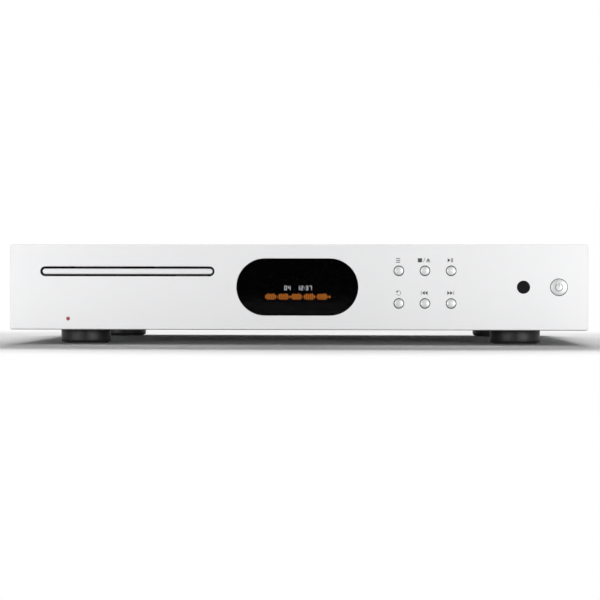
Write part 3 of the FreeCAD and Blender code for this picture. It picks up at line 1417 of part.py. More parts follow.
def make_belt(middle):
    """A square rubber belt, a hair clear of both grooves."""
    distance = (d.motor_y - wheel_y).value
    gap = d.belt_gap.value
    section = d.belt_section.value
    inner = belt_face(d.wheel_groove.value + gap, d.pulley_groove.value + gap, distance)
    outer = belt_face(d.wheel_groove.value + gap + section, d.pulley_groove.value + gap + section,
                      distance)
    belt = doc.addObject("Part::Feature", "drive_belt")
    belt.Shape = outer.cut(inner).extrude(FreeCAD.Vector(0, 0, section))
    belt.Label = "drive_belt"
    bind(belt, "Placement.Base.x", gear_x)
    bind(belt, "Placement.Base.y", wheel_y)
    bind(belt, "Placement.Base.z", middle - d.belt_section / 2)


def make_clamp():
    """The steel bridge over the tray, and the puck that hangs in it."""
    body = new_body("clamp_bridge")
    reach = d.loader_width / 2
    half = d.bridge_length / 2
    plate = Outline(body, "XY_Plane", d.loader_top)
    plate.span(d.slot_x - reach, d.slot_x + reach, d.spindle_y - half, d.spindle_y + half)
    pad(plate, d.bridge_thick, UP)
    edges = Outline(body, "XY_Plane", d.loader_top + d.bridge_thick)
    for side in (-1, 1):
        edges.rectangle(d.slot_x, d.spindle_y + side * (half - d.bridge_thick / 2),
                        2 * (reach - d.bridge_inset), d.bridge_thick)
    pad(edges, d.bridge_lip - d.bridge_thick, UP)
    hole = Outline(body, "XY_Plane", d.loader_top + d.bridge_thick)
    hole.circle(d.slot_x, d.spindle_y, d.bridge_hole)
    for side in (-1, 1):
        hole.circle(d.slot_x + side * d.bridge_side_hole, d.spindle_y, d.bridge_hole)
    pocket(hole, d.bridge_thick, DOWN)

    body = new_body("clamp_puck")
    flange_low = d.loader_top + d.bridge_thick + d.puck_lift
    flange_high = flange_low + d.puck_flange_thick
    revolve(Outline(body, "XZ_Plane").polygon([
        (0, d.puck_bottom + d.puck_hollow_depth), (d.puck_hollow / 2, d.puck_bottom + d.puck_hollow_depth),
        (d.puck_hollow / 2, d.puck_bottom), (d.puck_diameter / 2, d.puck_bottom),
        (d.puck_diameter / 2, flange_low), (d.puck_flange / 2, flange_low),
        (d.puck_flange / 2, flange_high), (0, flange_high)]))
    place(body, d.slot_x, d.spindle_y)


# ---------------------------------------------------------------- traverse

def lower(thing):
    """Tips a piece that was drawn level down about the traverse's pivot."""
    pivot = FreeCAD.Vector(d.slot_x.value, d.pivot_y.value, d.pivot_z.value)
    turn = FreeCAD.Rotation(FreeCAD.Vector(1, 0, 0), d.lower_angle.value)
    thing.Placement = FreeCAD.Placement(FreeCAD.Vector(0, 0, 0), turn, pivot)
    return thing


def make_traverse_frame():
    """The tipping frame that carries disc motor, rods and pick-up."""
    body = new_body("traverse_frame")
    half = d.traverse_width / 2
    block = Outline(body, "XY_Plane", d.traverse_bottom)
    block.span(d.slot_x - half, d.slot_x + half, d.traverse_front, d.traverse_back)
    pad(block, d.traverse_top - d.traverse_bottom, UP)
    wall = d.traverse_wall
    hollow = Outline(body, "XY_Plane", d.traverse_bottom)
    hollow.span(d.slot_x - half + wall, d.slot_x + half - wall, d.traverse_front + wall,
                d.traverse_back - wall)
    pocket(hollow, d.traverse_top - d.traverse_bottom - wall, UP)
    motor_hole = Outline(body, "XY_Plane", d.traverse_top)
    motor_hole.circle(d.slot_x, d.spindle_y, d.spindle_case)
    pocket(motor_hole, wall, DOWN)
    well = Outline(body, "XY_Plane", d.traverse_top)
    well.span(d.slot_x - d.well_width / 2, d.slot_x + d.well_width / 2,
              d.spindle_y + d.spindle_case / 2 + d.well_gap, d.well_back)
    pocket(well, wall, DOWN)
    posts = Outline(body, "XY_Plane", d.sled_bottom)
    for x in (d.slot_x - d.rod_offset, d.slot_x + d.rod_offset):
        for y in (d.rod_front + d.post_thick / 2, d.rod_back - d.post_thick / 2):
            posts.rectangle(x, y, 2 * d.rod_diameter, d.post_thick)
    posts.rectangle(d.slot_x + d.screw_offset, d.rod_back - d.post_thick / 2, d.screw_post,
                    d.post_thick)
    pad(posts, d.traverse_top - wall - d.sled_bottom, UP)
    bores = Outline(body, "XZ_Plane", d.rod_front)
    for side in (-1, 1):
        bores.circle(d.slot_x + side * d.rod_offset, d.rod_z, d.rod_diameter)
    bores.circle(d.slot_x + d.screw_offset, d.rod_z, d.rod_diameter + 2 * d.bore_play)
    pocket(bores, d.rod_back - d.rod_front, BACK)
    for side in (-1, 1):
        pivots = Outline(body, "YZ_Plane", d.slot_x + side * half)
        pivots.circle(d.pivot_y, d.pivot_z, d.pivot_pin)
        pad(pivots, d.ear_offset + d.ear_thick - half, side)
    pins = Outline(body, "XZ_Plane", d.traverse_front)
    for side in (-1, 1):
        pins.circle(d.slot_x + side * d.cam_pin_offset, d.cam_pin_z, d.cam_pin)
    pad(pins, d.traverse_front - d.cam_front, FRONT)
    lower(body)


def make_spindle():
    """The disc motor, and the turntable with its centring cone."""
    body = new_body("spindle_motor")
    case = d.spindle_case / 2
    flange = d.spindle_flange / 2
    bore = d.spindle_shaft / 2 + d.bore_play
    high = d.traverse_top + d.spindle_flange_thick
    revolve(Outline(body, "XZ_Plane").polygon([
        (0, d.spindle_bottom), (case, d.spindle_bottom), (case, d.traverse_top),
        (flange, d.traverse_top), (flange, high), (bore, high), (bore, d.spindle_bottom + d.can_wall),
        (0, d.spindle_bottom + d.can_wall)]))
    centre_on_spindle(body)
    body = new_body("turntable")
    shaft = d.spindle_shaft / 2
    shaft_low = d.spindle_bottom + d.can_wall + d.end_play
    table_low = d.table_top - d.table_thick
    revolve(Outline(body, "XZ_Plane").polygon([
        (0, shaft_low), (shaft, shaft_low), (shaft, d.table_bottom),
        (d.table_boss / 2, d.table_bottom), (d.table_boss / 2, table_low),
        (d.table_diameter / 2, table_low), (d.table_diameter / 2, d.table_top),
        (d.cone_base / 2, d.table_top), (d.cone_tip / 2, d.table_top + d.cone_height),
        (0, d.table_top + d.cone_height)]))
    centre_on_spindle(body)


def centre_on_spindle(body):
    """Lowers a body that was turned about the document's own upright axis."""
    pivot = FreeCAD.Vector(0, d.pivot_y.value - d.spindle_y.value, d.pivot_z.value)
    turn = FreeCAD.Rotation(FreeCAD.Vector(1, 0, 0), d.lower_angle.value)
    shift = FreeCAD.Vector(d.slot_x.value, d.spindle_y.value, 0)
    body.Placement = FreeCAD.Placement(shift, FreeCAD.Rotation()).multiply(
        FreeCAD.Placement(FreeCAD.Vector(0, 0, 0), turn, pivot))


def make_sled():
    """Two guide rods, the pick-up sled with its lens, and the screw feed."""
    rods = new_body("guide_rods")
    bars = Outline(rods, "XZ_Plane", d.rod_front)
    for side in (-1, 1):
        bars.circle(d.slot_x + side * d.rod_offset, d.rod_z, d.rod_diameter)
    pad(bars, d.rod_back - d.rod_front, BACK)
    lower(rods)

    sled = new_body("lens_sled")
    middle = d.spindle_y + d.lens_offset
    block = Outline(sled, "XY_Plane", d.sled_bottom)
    block.rectangle(d.slot_x, middle, d.sled_width, d.sled_length)
    pad(block, d.sled_top - d.sled_bottom, UP)
    bores = Outline(sled, "XZ_Plane", middle - d.sled_length / 2)
    for side in (-1, 1):
        bores.circle(d.slot_x + side * d.rod_offset, d.rod_z, d.rod_diameter + 2 * d.bore_play)
    pocket(bores, d.sled_length, BACK)
    turret = Outline(sled, "XY_Plane", d.sled_top)
    turret.rectangle(d.slot_x, middle, d.lens_turret, d.lens_turret)
    pad(turret, d.turret_top - d.sled_top, UP)
    lens = Outline(sled, "XY_Plane", d.turret_top)
    lens.circle(d.slot_x, middle, d.lens_diameter)
    pad(lens, d.lens_top - d.turret_top, UP)
    chamfer(sled, d.edge_bevel, lambda edge: lies_at(edge, "z", d.lens_top))
    lower(sled)

    motor = new_body("feed_motor")
    case = Outline(motor, "XZ_Plane", d.feed_back)
    case.circle(d.slot_x + d.screw_offset, d.rod_z, d.feed_case)
    pad(case, d.feed_length, FRONT)
    bore = Outline(motor, "XZ_Plane", d.feed_back)
    bore.circle(d.slot_x + d.screw_offset, d.rod_z, d.rod_diameter + 2 * d.bore_play)
    pocket(bore, d.post_thick, FRONT)
    lower(motor)

    screw = new_body("feed_screw")
    start = d.feed_back - d.post_thick + d.end_play
    bar = Outline(screw, "XZ_Plane", start)
    bar.circle(d.slot_x + d.screw_offset, d.rod_z, d.rod_diameter)
    pad(bar, d.rod_back - start, BACK)
    lower(screw)


def make_cam():
    """The slider whose two sloping slots lift the traverse by its front pins."""
    body = new_body("cam_slider")
    plate = Outline(body, "XZ_Plane", d.cam_front)
    plate.span(d.slot_x - d.cam_width / 2, d.slot_x + d.cam_width / 2, d.cam_bottom, d.cam_top)
    pad(plate, d.cam_thick, BACK)
    drop = cam_pin_drop()
    slots = Outline(body, "XZ_Plane", d.cam_front)
    for side in (-1, 1):
        x = d.slot_x + side * d.cam_pin_offset
        low = d.cam_pin_z - drop
        slots.slot((x, low), (x + d.cam_travel, d.cam_pin_z), d.cam_slot)
    pocket(slots, d.cam_thick, BACK)


def cam_pin_drop():
    """How far the pins drop from level at the slider's mid-plane."""
    angle = math.radians(d.lower_angle.value)
    arm = d.pivot_y.value - d.cam_front.value - d.cam_thick.value / 2
    rise = d.cam_pin_z.value - d.pivot_z.value
    return Size(rise - (-arm * math.sin(angle) + rise * math.cos(angle)))


# ---------------------------------------------------------------- build and write

for make in (make_base, make_subpanel, make_rear_panel, make_cover, make_fascia, make_window,
             make_display, make_front_board, make_switches, make_buttons, make_eye, make_lamp,
             make_feet, make_case_screws, make_transformer, make_boards, make_inlet, make_rocker,
             make_coax, make_optical, make_usb, make_triggers, make_loader_frame, make_tray,
             make_lip, make_drive, make_clamp, make_traverse_frame, make_spindle, make_sled,
             make_cam):
    make()
doc.recompute()

for thing in doc.Objects:
    if {"Invalid", "Error"} & set(thing.State):
        raise RuntimeError(f"{thing.Name}: {thing.State}")

used = {other.Name for cut in doc.Objects if cut.TypeId in ("Part::Cut", "Part::Fuse")
        for other in (cut.Base, cut.Tool)}
pieces = [thing for thing in doc.Objects if thing.Name not in used
          and thing.TypeId in ("PartDesign::Body", "Part::Cut", "Part::Fuse", "Part::Feature")]
for piece in pieces:
    if piece.Shape.isNull() or not piece.Shape.isValid():
        raise RuntimeError(f"{piece.Label} has no valid shape")

os.makedirs("parts", exist_ok=True)
for piece in pieces:
    piece.Shape.exportStep(f"parts/{piece.Label}.step")
print(len(pieces), "pieces")
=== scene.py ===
import json
import math

import bmesh
import bpy
from mathutils import Matrix, Vector
from mathutils.bvhtree import BVHTree


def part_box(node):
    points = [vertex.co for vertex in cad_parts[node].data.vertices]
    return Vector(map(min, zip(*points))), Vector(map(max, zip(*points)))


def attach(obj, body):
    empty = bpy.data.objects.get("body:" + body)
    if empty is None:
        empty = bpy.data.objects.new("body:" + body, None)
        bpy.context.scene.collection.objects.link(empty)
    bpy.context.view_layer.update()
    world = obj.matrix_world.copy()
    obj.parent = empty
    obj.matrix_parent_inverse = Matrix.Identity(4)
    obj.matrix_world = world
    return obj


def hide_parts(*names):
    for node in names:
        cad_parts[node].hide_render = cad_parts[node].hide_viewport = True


# A full-width disc player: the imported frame, dressed with finishes and fine pieces, on a pale studio floor.

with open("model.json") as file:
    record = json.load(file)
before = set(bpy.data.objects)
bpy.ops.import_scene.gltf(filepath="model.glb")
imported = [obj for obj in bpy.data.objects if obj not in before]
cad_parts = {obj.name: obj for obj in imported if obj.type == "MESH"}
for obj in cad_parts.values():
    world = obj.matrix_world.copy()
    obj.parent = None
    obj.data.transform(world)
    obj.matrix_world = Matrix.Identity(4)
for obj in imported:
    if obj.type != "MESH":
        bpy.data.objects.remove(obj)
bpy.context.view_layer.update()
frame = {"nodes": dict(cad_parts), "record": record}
scene = bpy.context.scene
print("frame loaded:", len(frame["nodes"]), "nodes")

mm = 0.001
card = {"half": 0.12, "edge": 0.24, "level": 0.01}


# ---- what the frame says about places

def boxOf(node):
    low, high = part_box(node)
    return low, high, (low + high) / 2, high - low


fasciaLow, fasciaHigh, fasciaMiddle, fasciaSize = boxOf("fascia")
faceY = fasciaLow.y


# ---- shader maths

class Wire:  # an output socket that adds, multiplies and compares like a number
    def __init__(self, graph, socket):
        self.graph = graph
        self.socket = socket

    def sum(self, kind, first, second):
        return self.graph.add("ShaderNodeMath", {"operation": kind}, [first, second])

    def __add__(self, other):
        return self.sum("ADD", self, other)

    def __radd__(self, other):
        return self.sum("ADD", other, self)

    def __sub__(self, other):
        return self.sum("SUBTRACT", self, other)

    def __rsub__(self, other):
        return self.sum("SUBTRACT", other, self)

    def __mul__(self, other):
        return self.sum("MULTIPLY", self, other)

    def __rmul__(self, other):
        return self.sum("MULTIPLY", other, self)

    def __truediv__(self, other):
        return self.sum("DIVIDE", self, other)

    def __rtruediv__(self, other):
        return self.sum("DIVIDE", other, self)

    def __pow__(self, other):
        return self.sum("POWER", self, other)

    def __gt__(self, other):
        return self.sum("GREATER_THAN", self, other)

    def __lt__(self, other):
        return self.sum("LESS_THAN", self, other)

    def clamped(self):
        return self.graph.add("ShaderNodeMath", {"operation": "ADD", "use_clamp": True}, [self, 0.0])


class Graph:  # a node tree, built up call by call
    def __init__(self, tree):
        self.tree = tree

    def feed(self, target, value):
        if isinstance(value, Wire):
            self.tree.links.new(value.socket, target)
        elif isinstance(value, (tuple, list)) and len(value) == 3 and target.type == "RGBA":
            target.default_value = (*value, 1.0)
        else:
            target.default_value = value

    def add(self, kind, settings=None, inputs=None, out=0):
        node = self.tree.nodes.new(kind)
        for key, value in (settings or {}).items():
            if key == "stops":
                self.fillRamp(node, value)
            else:
                setattr(node, key, value)
        for key, value in inputs.items() if isinstance(inputs, dict) else enumerate(inputs or []):
            self.feed(node.inputs[key], value)
        return Wire(self, node.outputs[out])

    def split(self, vector):
        first = self.add("ShaderNodeSeparateXYZ", inputs=[vector])
        return [Wire(self, output) for output in first.socket.node.outputs]

    def ramp(self, value, low, high):  # 0 below low, 1 above high, smooth between them
        return self.add("ShaderNodeMapRange", {"interpolation_type": "SMOOTHSTEP"}, {
            "Value": value, "From Min": low, "From Max": high})

    def besideCard(self, x, y):  # 0 in the narrow sector straight ahead where a dark card stands, else 1
        across = x / y
        return (self.ramp(across * across, card["half"] ** 2, card["edge"] ** 2) + (y > 0.0)).clamped()

    def rays(self, *kinds):  # 1 where the ray is of one of these kinds
        paths = self.add("ShaderNodeLightPath").socket.node.outputs
        total = Wire(self, paths[kinds[0]])
        for kind in kinds[1:]:
            total = total + Wire(self, paths[kind])
        return total.clamped()

    def fillRamp(self, node, stops):
        steps = node.color_ramp.elements
        while len(steps) < len(stops):
            steps.new(0.5)
        for step, (place, colour) in zip(steps, stops):
            step.position = place
            step.color = (*colour, 1.0)

    def place(self):  # coordinates fixed to the piece, in metres
        return self.add("ShaderNodeTexCoord", out="Object")

    def stretched(self, x, y, z):
        return self.add("ShaderNodeMapping", inputs={"Vector": self.place(), "Scale": (x, y, z)})

    def noise(self, scale, detail=2.0, roughness=0.5, at=None):
        at = at or self.place()
        return self.add("ShaderNodeTexNoise", inputs={
            "Vector": at, "Scale": scale, "Detail": detail, "Roughness": roughness})

    def mix(self, share, first, second):  # between two colours
        return self.add("ShaderNodeMix", {"data_type": "RGBA"}, {0: share, 6: first, 7: second}, out=2)


class Finish(Graph):  # one material
    def __init__(self, name, **fixed):
        self.material = bpy.data.materials.new(name)
        self.material.use_nodes = True
        super().__init__(self.material.node_tree)
        self.shader = self.tree.nodes["Principled BSDF"]
        for socket, value in fixed.items():
            self.set(socket.replace("_", " "), value)

    def set(self, socket, value):
        self.feed(self.shader.inputs[socket], value)
        return self

    def bump(self, height, strength, depth):
        normal = self.add("ShaderNodeBump", inputs={
            "Strength": strength, "Distance": depth, "Height": height})
        return self.set("Normal", normal)


# ---- finishes: each function makes one material, with its settings beside it

def satinAluminium():  # bead blasted and clear anodised
    look = {"colour": (0.86, 0.862, 0.87), "metal": 0.25, "rough": 0.48, "grain": 2600, "grainDepth": 0.00002,
            "cutRough": 0.22}
    finish = Finish("satinAluminium")
    steep = finish.split(finish.add("ShaderNodeNewGeometry", out=3))[1]
    steep = steep * steep
    cut = (steep > 0.2) * (steep < 0.8)  # the bright-cut chamfers round the face
    grain = finish.noise(look["grain"], 3)
    cloud = finish.noise(9, 2)
    finish.set("Base Color", finish.mix(cloud, look["colour"], tuple(c * 0.985 for c in look["colour"])))
    finish.set("Metallic", look["metal"] + (1 - look["metal"]) * cut)
    satin = look["rough"] + 0.05 * (cloud - 0.5) + 0.06 * (grain - 0.5)
    finish.set("Roughness", satin + (look["cutRough"] - look["rough"]) * cut)
    finish.bump(grain, 0.12, look["grainDepth"])
    return finish.material


def silverPaint():  # fine texture coat on folded steel
    look = {"colour": (0.74, 0.745, 0.755), "rough": 0.42, "grain": 1500}
    finish = Finish("silverPaint")
    grain = finish.noise(look["grain"], 2)
    flake = finish.noise(4200, 1)
    cloud = finish.noise(6, 2)
    finish.set("Base Color", finish.mix(flake, look["colour"], tuple(c * 0.93 for c in look["colour"])))
    finish.set("Metallic", 0.35)
    finish.set("Roughness", look["rough"] + 0.08 * (cloud - 0.5) + 0.1 * (grain - 0.5))
    finish.bump(grain, 0.25, 0.00004)
    return finish.material


def zincSteel():  # plated sheet with rolling lines and faint spangle
    look = {"colour": (0.55, 0.56, 0.58), "rough": 0.34}
    finish = Finish("zincSteel")
    lines = finish.noise(900, 2, at=finish.stretched(0.03, 1.0, 1.0))
    patch = finish.noise(70, 3)
    finish.set("Base Color", finish.mix(patch, look["colour"], (0.47, 0.48, 0.49)))
    finish.set("Metallic", 0.9)
    finish.set("Roughness", look["rough"] + 0.14 * (patch - 0.5) + 0.1 * (lines - 0.5))
    finish.bump(lines, 0.15, 0.00002)
    return finish.material


def moulded(name, colour, rough, grain=1800, depth=0.00003, speck=0.9, gloss=0.5):  # textured plastic
    finish = Finish(name, Specular_IOR_Level=gloss)
    texture = finish.noise(grain, 3)
    cloud = finish.noise(14, 2)
    finish.set("Base Color", finish.mix(texture, colour, tuple(c * speck for c in colour)))
    finish.set("Roughness", rough + 0.1 * (cloud - 0.5) + 0.08 * (texture - 0.5))
    finish.bump(texture, 0.3, depth)
    return finish.material


def plated(name, colour, rough, metal=1.0):  # bright plating with fine handling marks
    finish = Finish(name)
    marks = finish.noise(700, 4, 0.7)
    cloud = finish.noise(40, 2)
    finish.set("Base Color", finish.mix(cloud, colour, tuple(c * 0.9 for c in colour)))
    finish.set("Metallic", metal)
    finish.set("Roughness", rough + 0.12 * (marks - 0.5) + 0.05 * (cloud - 0.5))
    finish.bump(marks, 0.05, 0.00002)
    return finish.material


def polishedBlack(name, colour, rough, alpha=1.0):  # polished acrylic
    finish = Finish(name)
    haze = finish.noise(22, 3)
    finish.set("Base Color", finish.mix(haze, colour, tuple(c * 1.3 for c in colour)))
    finish.set("Roughness", rough + 0.03 * haze)
    finish.set("Alpha", alpha)
    finish.set("Specular IOR Level", 0.3)
    finish.set("Coat Weight", 0.0)
    return finish.material


def lampRed():
    look = {"colour": (0.42, 0.045, 0.05), "glow": (1.0, 0.07, 0.05), "strength": 0.05}
    finish = Finish("lampRed", Roughness=0.25)
    haze = finish.noise(900, 2)
    finish.set("Base Color", finish.mix(haze, look["colour"], (0.3, 0.03, 0.035)))
    finish.set("Emission Color", look["glow"])
    finish.set("Emission Strength", look["strength"])
    return finish.material


def boardGreen():  # solder mask over fine tracks
    finish = Finish("boardGreen")
    tracks = finish.add("ShaderNodeTexBrick", {"offset": 0.5}, {
        "Vector": finish.place(), "Scale": 260.0, "Mortar Size": 0.03})
    weave = finish.noise(1200, 2)
    finish.set("Base Color", finish.mix(finish.noise(180, 4), (0.02, 0.12, 0.06), (0.05, 0.22, 0.11)))
    finish.set("Roughness", 0.35 + 0.15 * weave)
    finish.bump(tracks, 0.3, 0.00003)
    return finish.material


def woundTape():  # overlapping turns of yellow tape
    finish = Finish("woundTape")
    turns = finish.add("ShaderNodeTexWave", {"wave_type": "BANDS", "bands_direction": "X"}, {
        "Vector": finish.place(), "Scale": 90.0, "Distortion": 0.6})
    finish.set("Base Color", finish.mix(turns, (0.62, 0.42, 0.05), (0.42, 0.27, 0.03)))
    finish.set("Roughness", 0.25 + 0.15 * turns)
    finish.bump(turns, 0.4, 0.0002)
    return finish.material


def printedInk(name, level):  # flat printing ink
    finish = Finish(name)
    finish.set("Base Color", finish.mix(finish.noise(2500, 2), (level,) * 3, (level * 1.25,) * 3))
    finish.set("Roughness", 0.5 + 0.1 * finish.noise(3000, 2))
    return finish.material


def litSegments(name, colour, strength, base=None, fade=1.0):  # display segments, dimmer away from a height
    finish = Finish(name, Base_Color=(0.01, 0.01, 0.01), Roughness=0.5, Emission_Strength=strength)
    share = 0.8 + 0.3 * (finish.noise(900, 2) - 0.5)
    if base is not None:
        height = finish.add("ShaderNodeSeparateXYZ", inputs=[finish.place()], out=2)
        offset = (height - base) / fade
        share = share * (1.0 - offset * offset).clamped()
    finish.set("Emission Color", finish.mix(share, (0, 0, 0), colour))
    return finish.material


finishes = {
    "satin_aluminium": satinAluminium(),
    "silver_paint": silverPaint(),
    "zinc_steel": zincSteel(),
    "smoked_window": polishedBlack("smokedWindow", (0.0015, 0.0014, 0.0016), 0.03, 0.5),
    "turned_metal": plated("turnedMetal", (0.70, 0.705, 0.71), 0.42, 0.55),
    "infrared_black": polishedBlack("infraredBlack", (0.012, 0.011, 0.012), 0.06),
    "lamp_red": lampRed(),
    "foot_black": moulded("footBlack", (0.015, 0.015, 0.016), 0.42, 700, 0.00001, gloss=0.32),
    "pad_rubber": moulded("padRubber", (0.03, 0.03, 0.03), 0.8),
    "black_zinc": plated("blackZinc", (0.05, 0.05, 0.055), 0.35),
    "board_green": boardGreen(),
    "component_black": moulded("componentBlack", (0.025, 0.025, 0.027), 0.5),
    "can_sleeve": moulded("canSleeve", (0.03, 0.035, 0.06), 0.3),
    "coil_tape": woundTape(),
    "socket_black": moulded("socketBlack", (0.02, 0.02, 0.021), 0.45),
    "gold_plate": plated("goldPlate", (0.85, 0.64, 0.25), 0.18),
    "nickel_plate": plated("nickelPlate", (0.72, 0.71, 0.69), 0.2),
    "loader_grey": moulded("loaderGrey", (0.05, 0.05, 0.053), 0.55),
    "tray_black": moulded("trayBlack", (0.022, 0.022, 0.024), 0.5),
    "gear_white": moulded("gearWhite", (0.78, 0.76, 0.70), 0.4),
    "belt_rubber": moulded("beltRubber", (0.02, 0.02, 0.02), 0.7),
    "lens_metal": plated("lensMetal", (0.35, 0.35, 0.36), 0.45),
    "insulator_orange": moulded("insulatorOrange", (0.72, 0.22, 0.03), 0.35),
    # near-black and glossless: the display's own black, and painted shade on the button sleeves and on the
    # plate behind the tray lip
    "display_black_and_shade": moulded("displayBlackAndShade", (0.0015, 0.0015, 0.0016), 0.6, gloss=0.0),
    "sign_grey": printedInk("signGrey", 0.05),
    "power_sign": printedInk("powerSign", 0.14),
    "numeral_glow": litSegments("numeralGlow", (0.62, 0.64, 0.68), 5.0),
    "level_glow": litSegments("levelGlow", (1.0, 0.30, 0.04), 2.4, fasciaMiddle.z - 7 * mm, 7 * mm),
}
for part in frame["record"]["subparts"]:
    look = "display_black_and_shade" if part["node"] == "display_panel" else part["material_slot"]
    frame["nodes"][part["node"]].data.materials.clear()
    frame["nodes"][part["node"]].data.materials.append(finishes[look])
print("finishes made:", len(finishes))


# ---- shapes: outlines in a plane, and solids grown from them

def circle(radius, steps=48):
    if radius == 0:
        return [(0, 0)]
    return [(radius * math.cos(2 * math.pi * k / steps), radius * math.sin(2 * math.pi * k / steps))
            for k in range(steps)]


def stadium(width, height, steps=18):
    radius = height / 2
    reach = width / 2 - radius
    turns = [math.pi * (k / steps - 0.5) for k in range(steps + 1)]
    right = [(reach + radius * math.cos(turn), radius * math.sin(turn)) for turn in turns]
    return right + [(-x, -y) for x, y in right]


def roundBox(width, height, radius, steps=4):
    points = []
    for corner, (sideX, sideY) in enumerate(((1, 1), (-1, 1), (-1, -1), (1, -1))):
        for k in range(steps + 1):
            turn = math.pi / 2 * (corner + k / steps)
            points.append((sideX * (width / 2 - radius) + radius * math.cos(turn),
                           sideY * (height / 2 - radius) + radius * math.sin(turn)))
    return points


def moved(outline, across, up):
    return [(u + across, v + up) for u, v in outline]


class Solid:  # a mesh grown from outlines that lie across one axis
    def __init__(self, axis="z", centre=(0, 0, 0)):
        self.mesh = bmesh.new()
        self.axis = axis
        self.centre = Vector(centre)

    def ring(self, outline, at):
        order = {"x": lambda u, v: (at, u, v), "y": lambda u, v: (u, at, v), "z": lambda u, v: (u, v, at)}
        return [self.mesh.verts.new(self.centre + Vector(order[self.axis](u, v))) for u, v in outline]

    def join(self, low, high):
        for k in range(max(len(low), len(high))):
            corners = (low[k % len(low)], low[(k + 1) % len(low)],
                       high[(k + 1) % len(high)], high[k % len(high)])
            self.mesh.faces.new(list(dict.fromkeys(corners)))

    def loft(self, levels, loop=False):  # levels are (outline, place along the axis)
        rings = [self.ring(outline, at) for outline, at in levels]
        for low, high in zip(rings, rings[1:] + rings[:1] if loop else rings[1:]):
            self.join(low, high)
        if not loop:
            for end in (rings[0], rings[-1]):
                if len(end) > 2:
                    self.mesh.faces.new(end)
        return self

    def lathe(self, profile, steps=48, loop=False, across=0, up=0):  # profile is (radius, place)
        return self.loft([(moved(circle(radius, steps), across, up), at) for radius, at in profile], loop)

    def plate(self, outlines, low, high):  # the first outline with the others cut out of it
        edges = []
        for outline in outlines:
            loop = self.ring(outline, low)
            edges += [self.mesh.edges.new((loop[k - 1], loop[k])) for k in range(len(loop))]
        made = bmesh.ops.triangle_fill(self.mesh, edges=edges, use_beauty=True)
        faces = [item for item in made["geom"] if isinstance(item, bmesh.types.BMFace)]
        grown = bmesh.ops.extrude_face_region(self.mesh, geom=faces, use_keep_orig=True)
        step = {"x": (1, 0, 0), "y": (0, 1, 0), "z": (0, 0, 1)}[self.axis]
        bmesh.ops.translate(self.mesh, vec=Vector(step) * (high - low),
                            verts=[item for item in grown["geom"] if isinstance(item, bmesh.types.BMVert)])
        return self

    def turned(self, matrix):
        bmesh.ops.transform(self.mesh, matrix=matrix, verts=self.mesh.verts)
        return self


def makePiece(name, solid, body, slot, replaces=(), finish=None, sharp=35):
    bmesh.ops.recalc_face_normals(solid.mesh, faces=solid.mesh.faces)
    mesh = bpy.data.meshes.new(name)
    solid.mesh.to_mesh(mesh)
    solid.mesh.free()
    mesh.shade_smooth()
    mesh.set_sharp_from_angle(angle=math.radians(sharp))
    mesh.materials.append(finish or finishes[slot])
    piece = bpy.data.objects.new(name, mesh)
    scene.collection.objects.link(piece)
    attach(piece, body)
    if replaces:
        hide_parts(*replaces)
    return piece


def islands(node):  # the middle and size of each separate solid of a node
    mesh = bmesh.new()
    mesh.from_mesh(frame["nodes"][node].data)
    bmesh.ops.remove_doubles(mesh, verts=mesh.verts, dist=0.000001)
    left = set(mesh.verts)
    found = []
    while left:
        group, reach = set(), [left.pop()]
        while reach:
            vert = reach.pop()
            group.add(vert)
            for edge in vert.link_edges:
                other = edge.other_vert(vert)
                if other in left:
                    left.remove(other)
                    reach.append(other)
        low = Vector([min(vert.co[k] for vert in group) for k in range(3)])
        high = Vector([max(vert.co[k] for vert in group) for k in range(3)])
        found.append((low, high, (low + high) / 2, high - low))
    mesh.free()
    return sorted(found, key=lambda item: tuple(round(value, 5) for value in item[2]))


# ---- tray lip and slot

def makeTrayFront():
    front = {"beside": 1.45 * mm, "above": 1.5 * mm, "liner": 0.3 * mm, "setBack": 0.25 * mm,
             "shadePlateGap": 0.28 * mm, "shadePlateThick": 1.0 * mm,
             "crown": [(1.9, 0.0), (1.4, 0.02), (0.8, 0.07), (0.35, 0.2), (0.1, 0.45), (0.0, 0.8)]}
    low, high, middle, size = boxOf("tray_lip")
    lip = Solid("y", (middle.x, 0, middle.z))
    levels = [(stadium(size.x - 2 * inset * mm, size.z - 2 * inset * mm), low.y + depth * mm)
              for inset, depth in front["crown"]]
    lip.loft(levels + [(stadium(size.x, size.z), high.y)])
    makePiece("tray_lip_turned", lip, "tray", "satin_aluminium", ["tray_lip"])
    outer = (size.x + 2 * front["beside"], size.z + 2 * front["above"])
    inner = [side - 2 * front["liner"] for side in outer]
    first, last = faceY + front["setBack"], fasciaHigh.y
    liner = Solid("y", (middle.x, 0, middle.z))
    liner.loft([(stadium(*outer), first), (stadium(*outer), last), (stadium(*inner), last),
                (stadium(*inner), first)], loop=True)
    makePiece("tray_slot_liner", liner, "chassis", "socket_black")
    # A near-black, glossless plate behind the lip, moving with the tray: painted shade that fills the view
    # through the gap round the lip.
    inset = front["shadePlateGap"] + front["liner"]
    shadePlate = Solid("y", (middle.x, 0, middle.z))
    shadePlate.loft([(stadium(outer[0] - 2 * inset, outer[1] - 2 * inset), at)
               for at in (high.y - front["shadePlateThick"], high.y)])
    makePiece("tray_lip_shadePlate", shadePlate, "tray", "pad_rubber", finish=finishes["display_black_and_shade"])


# ---- buttons and their printed signs

buttonNames = ["menu", "stop_eject", "play_pause", "repeat", "previous", "next"]


